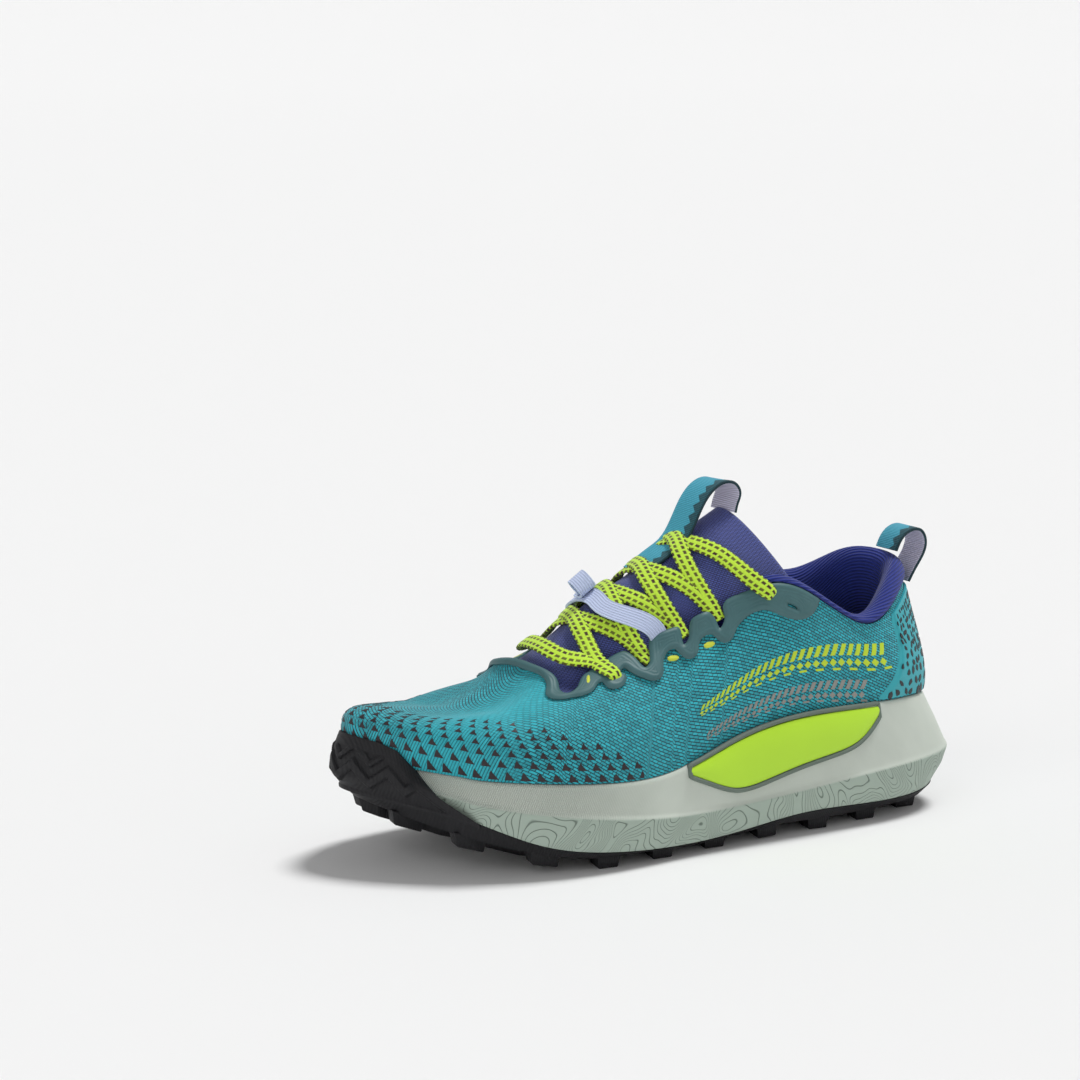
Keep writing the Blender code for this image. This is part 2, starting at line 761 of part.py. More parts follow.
def chevron(width):
    """A V that points forward, as an outline in plan."""
    half = width / 2
    arm = CHEVRON_ARM
    depth = 0.34 * width
    return [(0.5 * arm + depth / 2, 0.0), (0.5 * arm - depth / 2, -half), (-0.5 * arm - depth / 2, -half),
            (-0.5 * arm + depth / 2, 0.0), (-0.5 * arm - depth / 2, half), (0.5 * arm - depth / 2, half)]


def lug_mesh():
    bm = bmesh.new()
    for outline, x, y in lug_places():
        low, high = tread_prism(outline, x, y)
        verts = add_loops(bm, [low, high], closed=False)
        bm.faces.new(verts[0])
        bm.faces.new(verts[1])
    return finish_mesh(bm, "lugs")


def bumper_crest(around, foam):
    """Crest of the bumper: ring by ring up the foam at both its ends, then over the top."""
    full = SOLE_HEIGHT + BUMPER_RISE
    last = len(around) - 1
    crest = np.zeros(last + 1)
    for k in range(last + 1):
        step = min(k, last - k)
        if step < len(BUMPER_RUNGS):
            crest[k] = foam[BUMPER_RUNGS[step]][k, 2]
        else:
            top = foam[-1][k, 2]
            crest[k] = top + (full - top) * smooth((step - len(BUMPER_RUNGS) + 1) / 3)
    crest[[0, last]] += THINNEST
    return crest


def bumper_mesh():
    """Toe bumper: rubber carried up over the foam and the foot of the toe box."""
    fine = 3 * AROUND
    start = math.floor(side_place(BUMPER_START * LENGTH) * fine)
    end = math.ceil(side_place(BUMPER_START * LENGTH, inner=True) * fine)
    around = np.arange(start, end + 1) / fine
    columns = SOLE_CURVE(around)
    split, ridge, top = (columns[:, i] * SOLE_HEIGHT for i in (2, 3, 4))
    split_in = columns[:, 6] * FLARE
    top_in = columns[:, 5] * FLARE
    foam = foam_rows(around)
    crest = bumper_crest(around, foam)
    foot = split - 0.5 * PLATE
    out = np.column_stack([ridge_line(around)[1], np.zeros(len(around))])
    crest_share = np.zeros(len(around))
    shares = np.linspace(0.0, 0.5, 60)
    for k, place in enumerate(around):
        heights = shell(np.full(60, place), shares)[:, 2]
        crest_share[k] = np.interp(crest[k], heights, shares)
    on_shell = shell_at(around, crest_share, np.full(len(around), CLEARANCE))
    on_foam = at_height(foam, crest) + out * BUMPER_GAP
    inner_top = np.where((crest > top)[:, None], on_shell, on_foam)

    def level(target, side):
        return np.minimum(target, crest - THINNEST * side / 8)

    lines = [
        ring(around, split_in, foot),
        ring(around, 0.55 * split_in, level(0.5 * (split + ridge), 3)),
        ring(around, 0 * split, level(ridge, 2)),
        ring(around, 0.35 * top_in, level(0.5 * (ridge + crest), 1)),
        inner_top + out * 0.6 * BUMPER_WALL,
        inner_top,
    ]
    for number in range(len(foam) - 1, -1, -1):
        height = level(foam[number][:, 2], len(foam) - number)
        lines.append(at_height(foam, height) + out * BUMPER_GAP)
    low = foam[0] + out * BUMPER_GAP
    low[:, 2] = foot
    lines.append(low)
    loops = [[line[k] for line in lines] for k in range(len(around))]
    return swept("bumper", loops)


def side_pad_mesh(grow):
    """Crowned pad on the foam's outer side. Grown, it is the pocket."""
    line = spline(SIDE_PAD[:, 0], SIDE_PAD[:, 1:])
    stations = np.linspace(SIDE_PAD[0, 0], SIDE_PAD[-1, 0], 17)
    around = np.array([side_place(share * LENGTH) for share in stations])
    depth = np.maximum(line(stations)[:, 0], 0.04) * PAD_DEPTH
    top = SOLE_CURVE(around)[:, 4] * SOLE_HEIGHT - PAD_LIP
    low = top - depth
    rows = 5
    lines = []
    for k in range(rows + 1):
        share = k / rows
        height = low - grow + (depth + 2 * grow) * share
        crown = PAD_CROWN * math.sqrt(math.sin(math.pi * (0.06 + 0.88 * share)))
        ends = np.sqrt(np.sin(np.pi * (0.04 + 0.92 * np.linspace(0, 1, 17))))
        lines.append(ring(around, side_inset(around, height) - crown * ends - 4 * grow, height))
    for share in (1.0, 0.5, 0.0):
        height = low - grow + (depth + 2 * grow) * share
        lines.append(ring(around, side_inset(around, height) + PAD_POCKET + grow, height))
    loops = [[line[k] for line in lines] for k in range(17)]
    if grow:
        for loop, way in ((loops[0], -1), (loops[-1], 1)):
            for i, point in enumerate(loop):
                loop[i] = point + np.array([way * grow, 0, 0])
    return swept("side_pad", loops)


def make_side_pad():
    new_object("side_pad", side_pad_mesh(0.0), (0.45, 0.75, 0.03), 0.55)


def make_upper():
    """Hollow shell: outer face up, round the top edge, inner face down."""
    around = rim_steps()
    top = rim_shares(around)
    lines = []
    for k in range(UP_WALL + 1):
        lines.append(shell_at(around, top * k / UP_WALL, np.zeros(AROUND)))
    for k in range(UP_WALL, -1, -1):
        lines.append(shell_at(around, top * k / UP_WALL, np.full(AROUND, -WALL)))
    loops = [[line[k] for line in lines] for k in range(AROUND)]
    new_object("upper", swept("upper", loops, closed=True), (0.012, 0.38, 0.46), 0.85)


def make_eyestay():
    start = edge_place(EYESTAY_END * LENGTH)
    end = edge_place(EYESTAY_END * LENGTH, inner=True)
    steps = rim_range(start, end)
    around = np.interp(np.arange(3 * len(steps) - 2) / 3, np.arange(len(steps)), steps)
    inner, outer = eyestay_edges(around)
    lines = []
    spread = (0.0, 0.5, 1.0)
    for offset, order in ((CLEARANCE, spread), (CLEARANCE + EYESTAY, spread[::-1])):
        for share in order:
            distance = inner + (outer - inner) * share
            below = share_below(around, np.maximum(distance, 1e-5))
            lines.append(on_facets(around, below, offset))
    loops = [[line[k] for line in lines] for k in range(len(around))]
    new_object("eyestay", swept("eyestay", loops), (0.08, 0.17, 0.17), 0.6)


def make_heel_counter():
    """Thin overlay round the heel, its front edges slanting from the collar to the sole."""
    narrow = [side_place(COUNTER_TOP * LENGTH, True) - 1.0, side_place(COUNTER_TOP * LENGTH)]
    core = rim_range(*narrow)[1:-1]
    rows = [0.2] + list(range(1, UP_WALL)) + [UP_WALL - 0.4]
    lines = []
    for offset, order in ((2 * CLEARANCE, rows), (2 * CLEARANCE + COUNTER, rows[::-1])):
        for row in order:
            share = row / UP_WALL
            reach = COUNTER_TOP + (COUNTER_FOOT - COUNTER_TOP) * (1 - share) ** 2
            inner = np.linspace(side_place(reach * LENGTH, True) - 1.0, core[0], 4)[:-1]
            outer = np.linspace(core[-1], side_place(reach * LENGTH), 4)[1:]
            around = np.concatenate([inner, core, outer])
            lines.append(on_facets(around, np.full(len(around), share), offset))
    loops = [[line[k] for line in lines] for k in range(len(lines[0]))]
    new_object("heel_counter", swept("heel_counter", loops), (0.01, 0.30, 0.36), 0.6)


def make_collar_lining():
    """Padded lining: rolled over the collar's edge and hung down its inner face."""
    start = edge_place(COLLAR_FRONT * LENGTH, inner=True) - 1.0
    end = edge_place(COLLAR_FRONT * LENGTH)
    around = rim_range(start, end)
    places = around % 1.0
    back = 1 - smooth((np.abs(around) - 0.045) / 0.085)
    ends = 1 - smooth(np.abs((around - start) / (end - start) * 2 - 1) * 2.2 - 1.2)
    roll = COLLAR_ROLL * (0.24 + 0.76 * back)
    pad = COLLAR_PAD * (0.30 + 0.70 * ends)
    inside = WALL + 2 * CLEARANCE
    level = unit(shell_normal(places, 1.0) * (1, 1, 0))
    up = np.array([0.0, 0.0, 1.0])
    fixed = np.ones(len(places))

    def hung(rows, offset):
        return shell_at(places, fixed * (UP_WALL - rows) / UP_WALL, -offset)

    def rolled(height, offset):
        rim = shell_at(places, fixed, -np.minimum(offset, inside))
        past = np.maximum(offset - inside, 0.0)
        return rim + up * (height + CLEARANCE)[:, None] - level * past[:, None]

    lines = [hung(row, inside * fixed) for row in range(COLLAR_ROWS, -1, -1)]
    lines += [
        rolled(0.02 * roll, 0.5 * inside * fixed),
        rolled(0.45 * roll, 0.0002 * fixed),
        rolled(0.82 * roll, 0.16 * pad),
        rolled(roll, 0.5 * pad),
        rolled(0.78 * roll, 0.86 * pad),
        rolled(0.2 * roll, pad + 0.4 * inside),
        hung(1, inside + pad),
        hung(0.55 * COLLAR_ROWS, inside + 0.9 * pad),
        hung(COLLAR_ROWS, inside + 0.0015 * fixed),
    ]
    loops = [[line[k] for line in lines] for k in range(len(places))]
    new_object("collar_lining", swept("collar_lining", loops), (0.02, 0.035, 0.33), 0.9)


TONGUE_CURVE = spline(-TONGUE_LINE[:, 0], TONGUE_LINE[:, 1:])


def crest_height(x):
    return SOLE_HEIGHT + TONGUE_CURVE(-x / LENGTH)[:, 0] * UPPER_RISE


def throat_line(inner):
    """Points of the throat's side edge, from its front corner to the collar."""
    first = edge_place(0.170 * LENGTH, inner)
    last = edge_place(COLLAR_FRONT * LENGTH, inner)
    return shell(np.linspace(first, last, 80), 1.0)


def leaning_edge(x, inner):
    """Where the leaning section of the instep through this ridge point meets the throat's edge."""
    line = throat_line(inner)
    miss = line[:, 0] + INSTEP_LEAN * (crest_height(np.array([x]))[0] - line[:, 2])
    return np.array([np.interp(-x, -miss, line[:, i]) for i in range(3)])


def ridge_station(point):
    """The ridge point whose leaning section passes through a point of the throat."""
    stations = np.linspace(TONGUE_LINE[-1, 0] - 0.10, TONGUE_LINE[0, 0], 120) * LENGTH
    passes = stations - INSTEP_LEAN * (crest_height(stations) - point[2])
    return float(np.interp(point[0], passes, stations))


def tongue_section(x):
    """Middle, half width, crest height and base height of the tongue's section at this x."""
    crest = crest_height(np.array([x]))[0]
    half = TONGUE_CURVE(-x / LENGTH)[0, 1] * UPPER_RISE
    outer = leaning_edge(x, False)
    inner = leaning_edge(x, True)
    middle = 0.5 * (outer[1] + inner[1])
    reach = 0.5 * (outer[1] - inner[1])
    level = 0.5 * (outer[2] + inner[2]) - WALL - TONGUE_GAP
    ratio = min(reach / half, 0.94)
    fall = math.sqrt(1 - ratio * ratio)
    base = (level - crest * fall) / (1 - fall)
    return middle, half, crest, base


def tongue_point(x, turn, offset=0.0):
    """A point on the tongue's top face: turn is the angle from its ridge, outer side positive."""
    middle, half, crest, base = tongue_section(x)
    radius = crest - base
    y = middle + (half + offset) * math.sin(turn)
    z = base + (radius + offset) * math.cos(turn)
    return np.array([x - INSTEP_LEAN * (crest - min(z, crest)), y, z])


def tongue_stations():
    return np.linspace(TONGUE_LINE[0, 0], TONGUE_LINE[-1, 0], 15) * LENGTH


def pressed_under(points, depth):
    """Points moved in so that they stay this deep under the upper's outer face."""
    places = np.repeat(np.linspace(0.0, 1.0, 240, endpoint=False), 30)
    shares = np.tile(np.linspace(0.30, 1.0, 30), 240)
    surface = shell(places, shares)
    normals = shell_normal(places, shares)
    result = []
    for point in points:
        nearest = np.argmin(np.linalg.norm(surface - point, axis=1))
        away = point - surface[nearest]
        height = away @ normals[nearest]
        aside = np.linalg.norm(away - height * normals[nearest])
        hold = 1 - smooth((aside - 0.002) / 0.003)
        push = max(height + depth, 0.0) * hold
        result.append(point - push * normals[nearest])
    return result


def make_tongue():
    turns = np.radians(np.linspace(72, -72, 9))
    loops = []
    for x in tongue_stations():
        high = pressed_under([tongue_point(x, turn) for turn in turns], WALL + TONGUE_GAP)
        low = []
        for turn, point in zip(turns, high):
            thick = TONGUE * (0.35 + 0.65 * math.cos(turn * 1.15))
            inward = np.array([-INSTEP_LEAN * math.cos(turn), -math.sin(turn), -math.cos(turn)])
            low.append(point + unit(inward) * thick)
        loops.append(high + low[::-1])
    new_object("tongue", swept("tongue", loops), (0.025, 0.035, 0.22), 0.9)


def strip_mesh(name, path, across, width, thick):
    """A flat strip along a path, square to it, with a little crown at its edges."""
    path = np.asarray(path)
    way = unit(np.gradient(path, axis=0))
    across = unit(np.asarray(across, float) * np.ones_like(path))
    across = unit(across - way * np.sum(across * way, axis=1)[:, None])
    normal = np.cross(way, across)
    half = width / 2
    loops = []
    section = ((-1.0, 0.0), (-0.9, 0.5), (0.9, 0.5), (1.0, 0.0), (0.9, -0.5), (-0.9, -0.5))
    for point, side, face in zip(path, across, normal):
        loops.append([point + side * half * a + face * thick * b for a, b in section])
    return swept(name, loops)


def along_curve(points, count):
    """Even steps along a smooth curve through a few points. Later columns are carried along."""
    points = np.asarray(points, float)
    chords = np.linalg.norm(np.diff(points[:, :3], axis=0), axis=1)
    where = np.concatenate([[0.0], np.cumsum(chords)]) / chords.sum()
    return spline(where, points)(np.linspace(0.0, 1.0, count))


def make_tongue_loop():
    """Webbing from the lower tongue over the lace to a pull loop at the tongue's top."""
    tip = TONGUE_LINE[-1, 0] * LENGTH
    top = tongue_point(tip, 0.0)
    lift = LACE_THICK + LOOP_THICK / 2 + 7 * CLEARANCE
    points = []
    for share in (1.0, 0.86, 0.72, 0.58):
        points.append(tongue_point(tip + TONGUE_LOOP_FOOT * share, 0.0, lift))
    for forward, up in TONGUE_LOOP * TONGUE_LOOP_SIZE:
        points.append(top + (forward, 0, up))
    behind = np.array([-1.0, 0.0, INSTEP_LEAN]) / math.hypot(1.0, INSTEP_LEAN)
    down = np.array([-INSTEP_LEAN, 0.0, -1.0]) / math.hypot(1.0, INSTEP_LEAN)
    foot = top + behind * (CLEARANCE + LOOP_THICK / 2)
    points.append(foot + down * 0.45 * TONGUE)
    path = along_curve(points, 23)
    mesh = strip_mesh("tongue_loop", path, (-0.2, 1, 0), LOOP_WIDTH, LOOP_THICK)
    new_object("tongue_loop", mesh, (0.02, 0.32, 0.42), 0.8)


def make_heel_loop():
    """Webbing pull loop from the back of the collar lining down to the outside of the heel."""
    place = np.array([0.0])
    edge = shell(place, 1.0)[0]
    seat = COLLAR_ROLL + 2 * CLEARANCE + LOOP_THICK / 2
    top = edge + np.array([0.5 * COLLAR_PAD, 0.0, seat])
    low = shell_at(place, np.array([0.94]), np.array([COUNTER + 3 * CLEARANCE + LOOP_THICK / 2]))[0]
    points = [top + step for step in HEEL_LOOP * HEEL_LOOP_SIZE]
    points += [low + (-0.3 * HEEL_LOOP_SIZE, 0, 0.5 * HEEL_LOOP_SIZE), low]
    path = along_curve(points, 19)
    mesh = strip_mesh("heel_loop", path, (0, 1, 0), LOOP_WIDTH, LOOP_THICK)
    new_object("heel_loop", mesh, (0.02, 0.32, 0.42), 0.8)


def lace_end(name, inner):
    """Points and facing from the end of a lace run to the throat's edge, outermost first."""
    share, over = LACE_ENDS[name]
    place = np.array([edge_place(share * LENGTH, inner)])
    points = []
    if over:
        height = 3 * CLEARANCE + EYESTAY + LACE_THICK / 2
        steps = ((EYELET_DEPTH, height), (0.5 * EYELET_DEPTH, height), (0.0, height + CLEARANCE))
    else:
        steps = ((LACE_TUCK, -WALL / 2 - CLEARANCE),)
    for distance, offset in steps:
        below = share_below(place, np.array([max(distance, 1e-5)]))
        point = shell_at(place, below, np.array([offset]))[0]
        points.append(np.concatenate([point, shell_normal(place, below)[0]]))
    return points


def tongue_facing(x, turn):
    """Outward direction of the tongue's top face."""
    ahead = tongue_point(x + 0.001, turn) - tongue_point(x - 0.001, turn)
    aside = tongue_point(x, turn + 0.02) - tongue_point(x, turn - 0.02)
    return unit(np.cross(ahead, aside))


def lace_path(outer_end, inner_end):
    """A lace run over the tongue, from one end on the outer side to one on the inner side."""
    tips = [lace_end(outer_end, False), lace_end(inner_end, True)]
    ends = [ridge_station(tip[-1][:3]) for tip in tips]
    bow = FRONT_BAR_BOW if outer_end == inner_end else 0.0
    shares = [0.30, 0.5, 0.70]
    if not LACE_ENDS[outer_end][1]:
        shares.insert(0, 0.14)
    if not LACE_ENDS[inner_end][1]:
        shares.append(0.86)
    middle = []
    for share in shares:
        x = ends[0] + (ends[1] - ends[0]) * share + bow * math.sin(math.pi * share)
        turn = LACE_SWING * math.cos(math.pi * share)
        point = tongue_point(x, turn, 3 * CLEARANCE + LACE_THICK / 2)
        middle.append(np.concatenate([point, tongue_facing(x, turn)]))
    return along_curve(tips[0] + middle + tips[1][::-1], 13)


def lace_mesh(name, path):
    points = path[:, :3]
    way = unit(np.gradient(points, axis=0))
    normal = unit(path[:, 3:])
    normal = unit(normal - way * np.sum(normal * way, axis=1)[:, None])
    side = np.cross(way, normal)
    loops = []
    section = ((-1.0, 0.0), (-0.7, 0.5), (0.7, 0.5), (1.0, 0.0), (0.7, -0.5), (-0.7, -0.5))
    for point, across, face in zip(points, side, normal):
        loops.append([point + across * a * LACE_WIDTH / 2 + face * b * LACE_THICK for a, b in section])
    return swept(name, loops)


def make_laces():
    """All lace runs, joined where they cross and where they meet at the throat."""
    runs = [lace_path(outer, inner) for outer, inner in LACE_RUNS]
    laces = new_object("laces", lace_mesh("laces", runs[0]), (0.50, 0.85, 0.05), 0.8)
    for number, path in enumerate(runs[1:]):
        name = "lace_run_%d" % (number + 1)
        cut_with(laces, placed(name, lace_mesh(name, path)), "UNION")


def make_lace_keeper():
    """Elastic strap over the lace, square to the leaning instep."""
    height = 5 * CLEARANCE + LACE_THICK + KEEPER_THICK / 2
    path = []
    for turn in np.linspace(KEEPER_SWING, -KEEPER_SWING, 13):
        path.append(tongue_point(KEEPER * LENGTH, turn, height))
    across = (-1.0, 0.0, INSTEP_LEAN)
    mesh = strip_mesh("lace_keeper", path, across, KEEPER_WIDTH, KEEPER_THICK)
    new_object("lace_keeper", mesh, (0.55, 0.60, 0.80), 0.8)


def main():
    for thing in list(bpy.data.objects):
        bpy.data.objects.remove(thing)
    make_outsole()
    make_midsole()
    make_side_pad()
    make_insole()
    make_upper()
    make_eyestay()
    make_heel_counter()
    make_collar_lining()
    make_tongue()
    make_tongue_loop()
    make_heel_loop()
    make_laces()
    make_lace_keeper()


main()
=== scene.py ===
"""Looks of the trail running shoe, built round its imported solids.

Frame: +X from heel to toe, +Y to the outer side, +Z up, in metres. The tables of sections are
those of the solids, so each fine surface lies where its solid lies.
"""
import math

import bpy
import numpy as np
from mathutils import Matrix, Vector


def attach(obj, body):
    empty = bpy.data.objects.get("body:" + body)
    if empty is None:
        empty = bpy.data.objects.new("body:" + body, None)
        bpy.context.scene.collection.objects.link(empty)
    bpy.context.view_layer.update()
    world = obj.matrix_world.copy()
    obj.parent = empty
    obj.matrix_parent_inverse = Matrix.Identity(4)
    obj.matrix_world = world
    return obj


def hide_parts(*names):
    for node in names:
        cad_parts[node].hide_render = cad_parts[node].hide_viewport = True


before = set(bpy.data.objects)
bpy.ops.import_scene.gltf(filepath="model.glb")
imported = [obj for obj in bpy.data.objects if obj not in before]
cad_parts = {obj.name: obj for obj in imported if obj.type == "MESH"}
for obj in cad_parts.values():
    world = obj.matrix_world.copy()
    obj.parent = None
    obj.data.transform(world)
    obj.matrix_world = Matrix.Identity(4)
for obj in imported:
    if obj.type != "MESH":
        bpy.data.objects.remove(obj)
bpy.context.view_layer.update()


# Overall sizes, in metres
LENGTH = 0.300
BALL_WIDTH = 0.115
SOLE_HEIGHT = 0.050
UPPER_RISE = 0.071
CLEARANCE = 0.0003

# Sole
FLARE = 0.010
TOE_SPRING = 0.027
ARCH_LIFT = 0.001
LUG_BITE = 0.0008
LUG_LENGTH = 0.0090
LUG_WIDTH = 0.0130
LUG_PITCH = 0.0287
CHEVRON_WIDTH = 0.030
CHEVRON_ARM = 0.0065
PLATE = 0.0030
PLATE_LEAST = 0.0016
RIDGE_STEP = 0.0011
BUMPER_WALL = 0.0022
SHELF_EDGE = 0.0009
FOOTBED_DISH = 0.0025
INSOLE = 0.0042
INSOLE_SIDE_GAP = 0.0010
FOAM_OVERHANG = 0.0020

# Side pad in its pocket of the midsole
PAD_POCKET = 0.0026
PAD_CROWN = 0.0030
PAD_DEPTH = 0.0220
PAD_LIP = 0.0016

# Upper and what lies on it
WALL = 0.0020
SETBACK = 0.0070
EYESTAY = 0.0012
FRONT_BAND = 0.0050
COUNTER = 0.0008
COLLAR_PAD = 0.0085
COLLAR_ROWS = 4
COLLAR_ROLL = 0.0105
TONGUE = 0.0050
TONGUE_GAP = 0.0012

# Webbing, elastic and lace
LOOP_WIDTH = 0.0170
LOOP_THICK = 0.0014
HEEL_LOOP_SIZE = 0.0125
TONGUE_LOOP_SIZE = 0.0150
TONGUE_LOOP_FOOT = 0.044
KEEPER_THICK = 0.0012
LACE_WIDTH = 0.0062
LACE_THICK = 0.0020

# Sections across the instep lean back: run over rise
INSTEP_LEAN = 0.68

# Rows up the wall by which the collar's depth is counted
UP_WALL = 7

# Sole sections. along: share of LENGTH; across: share of BALL_WIDTH, both of the ridge line.
# split, ridge, top: heights as shares of SOLE_HEIGHT. top_in, split_in, ground_in: how far the
# top edge, the foot of the foam and the tread edge lie inside the ridge, shares of FLARE.
SOLE = np.array([
    # along, across, split, ridge, top, top_in, split_in, ground_in
    (-0.510, -0.010, 0.25, 0.56, 1.06, 1.50, 0.95, 1.45),
    (-0.490, 0.195, 0.23, 0.56, 1.07, 1.25, 0.80, 1.25),
    (-0.412, 0.322, 0.20, 0.54, 1.09, 0.80, 0.45, 0.95),
    (-0.307, 0.370, 0.20, 0.50, 1.11, 0.50, 0.30, 0.75),
    (-0.183, 0.395, 0.21, 0.44, 1.11, 0.45, 0.25, 0.50),
    (-0.067, 0.420, 0.14, 0.40, 0.99, 0.42, 0.25, 0.50),
    (0.040, 0.460, 0.12, 0.40, 0.79, 0.38, 0.25, 0.50),
    (0.160, 0.500, 0.17, 0.48, 0.77, 0.30, 0.25, 0.60),
    (0.273, 0.457, 0.29, 0.58, 0.82, 0.30, 0.25, 0.50),
    (0.373, 0.330, 0.54, 0.70, 0.87, 0.40, 0.20, 0.50),
    (0.453, 0.113, 0.66, 0.82, 0.94, 0.70, 0.30, 0.70),
    (0.493, -0.135, 0.70, 0.84, 0.96, 0.85, 0.40, 0.90),
    (0.454, -0.305, 0.64, 0.80, 0.92, 0.55, 0.30, 0.70),
    (0.393, -0.420, 0.52, 0.72, 0.88, 0.40, 0.25, 0.50),
    (0.300, -0.495, 0.32, 0.60, 0.84, 0.30, 0.25, 0.50),
    (0.167, -0.490, 0.18, 0.50, 0.80, 0.30, 0.25, 0.60),
    (0.033, -0.410, 0.14, 0.42, 0.83, 0.35, 0.25, 0.50),
    (-0.100, -0.340, 0.16, 0.43, 0.92, 0.35, 0.25, 0.45),
    (-0.233, -0.335, 0.21, 0.48, 1.04, 0.40, 0.30, 0.50),
    (-0.367, -0.320, 0.20, 0.53, 1.09, 0.55, 0.40, 0.75),
    (-0.463, -0.200, 0.22, 0.55, 1.07, 0.95, 0.70, 1.15),
])

# Upper sections, in the same places. along, across: where the top edge lies, shares of LENGTH
# and BALL_WIDTH; up: its height over the sole as a share of UPPER_RISE. rise, lean: how far the
# wall starts up and out from the sole; out, down: how it arrives at the top edge. These four
# are shares of UPPER_RISE.
UPPER = np.array([
    # along, across, up, rise, lean, out, down
    (-0.437, 0.000, 0.80, 0.21, 0.07, 0.05, 0.28),
    (-0.420, 0.120, 0.76, 0.21, 0.05, 0.06, 0.25),
    (-0.363, 0.243, 0.63, 0.20, 0.04, 0.07, 0.20),
    (-0.293, 0.300, 0.61, 0.20, 0.04, 0.06, 0.20),
    (-0.183, 0.304, 0.88, 0.25, 0.02, 0.07, 0.30),
    (-0.097, 0.265, 0.86, 0.28, 0.03, 0.10, 0.28),
    (-0.010, 0.230, 0.69, 0.30, 0.04, 0.14, 0.22),
    (0.093, 0.204, 0.54, 0.33, 0.06, 0.20, 0.16),
    (0.173, 0.217, 0.39, 0.36, 0.09, 0.24, 0.10),
    (0.197, 0.157, 0.44, 0.46, 0.13, 0.36, 0.25),
    (0.210, 0.070, 0.48, 0.60, 0.14, 0.48, 0.56),
    (0.220, -0.026, 0.49, 0.64, 0.10, 0.50, 0.60),
    (0.227, -0.104, 0.47, 0.60, 0.14, 0.48, 0.58),
    (0.220, -0.183, 0.42, 0.38, 0.13, 0.36, 0.30),
    (0.193, -0.235, 0.36, 0.31, 0.08, 0.26, 0.12),
    (0.100, -0.217, 0.55, 0.33, 0.05, 0.20, 0.16),
    (-0.010, -0.230, 0.70, 0.30, 0.03, 0.12, 0.22),
    (-0.100, -0.252, 0.89, 0.28, 0.02, 0.08, 0.26),
    (-0.190, -0.287, 0.90, 0.25, 0.02, 0.06, 0.28),
    (-0.317, -0.287, 0.71, 0.21, 0.04, 0.05, 0.22),
    (-0.403, -0.174, 0.81, 0.21, 0.05, 0.05, 0.24),
])

# Footbed height over the tread's rise, at stations along the shoe: shares of SOLE_HEIGHT
FOOTBED = np.array([
    # along, height
    (-0.50, 0.78),
    (-0.25, 0.75),
    (0.00, 0.65),
    (0.17, 0.58),
    (0.33, 0.50),
    (0.50, 0.34),
])

# Tongue ridge. along: share of LENGTH; up: height over the sole, half_width: both shares of
# UPPER_RISE.
TONGUE_LINE = np.array([
    # along, up, half_width
    (0.245, 0.34, 0.33),
    (0.213, 0.44, 0.39),
    (0.167, 0.57, 0.41),
    (0.100, 0.79, 0.40),
    (0.033, 0.945, 0.41),
    (-0.033, 1.12, 0.41),
    (-0.120, 1.34, 0.37),
])

# Side pad: how deep it hangs below the top of the foam, as a share of PAD_DEPTH
SIDE_PAD = np.array([
    # along, depth
    (-0.330, 0.16),
    (-0.300, 0.52),
    (-0.245, 0.80),
    (-0.180, 0.92),
    (-0.110, 1.00),
    (-0.055, 0.86),
    (-0.015, 0.48),
    (0.022, 0.10),
])

# Heel loop: steps from its seat on the collar lining, shares of HEEL_LOOP_SIZE
HEEL_LOOP = np.array([
    # forward, outward, up
    (0.00, 0.0, 0.00),
    (-0.22, 0.0, 0.42),
    (-0.62, 0.0, 0.72),
    (-1.08, 0.0, 0.70),
    (-1.30, 0.0, 0.30),
])

# Tongue loop: steps from the tip of the tongue's ridge, shares of TONGUE_LOOP_SIZE
TONGUE_LOOP = np.array([
    # forward, up
    (1.10, -0.01),
    (0.61, 0.65),
    (0.23, 0.83),
    (-0.13, 0.76),
    (-0.30, 0.46),
    (-0.22, 0.20),
])

# Places along the shoe, shares of LENGTH
EYESTAY_END = -0.222
COLLAR_FRONT = -0.128
THROAT_CORNER = 0.165
FIRST_LUG = -0.417
LAST_LUG = 0.412
BUMPER_BED = (0.352, 0.384)
COUNTER_TOP = -0.420
COUNTER_FOOT = -0.330
KEEPER = 0.100

# Lace runs: where each ends on the outer side and on the inner side
LACE_RUNS = (
    ("front", "front"), ("front", "one"), ("one", "front"), ("one", "two"), ("two", "one"),
    ("two", "three"), ("three", "two"), ("three", "top"), ("top", "three"),
)
FRONT_BAR_BOW = 0.011
FRONT_BAR_RISE = 0.0045
LACE_OVER = 0.0012
LACE_BEAT = 0.0026
LACE_END = 0.008
LACE_SWELL = 0.28
LACE_SWING = math.radians(42)
KEEPER_SWING = math.radians(47)


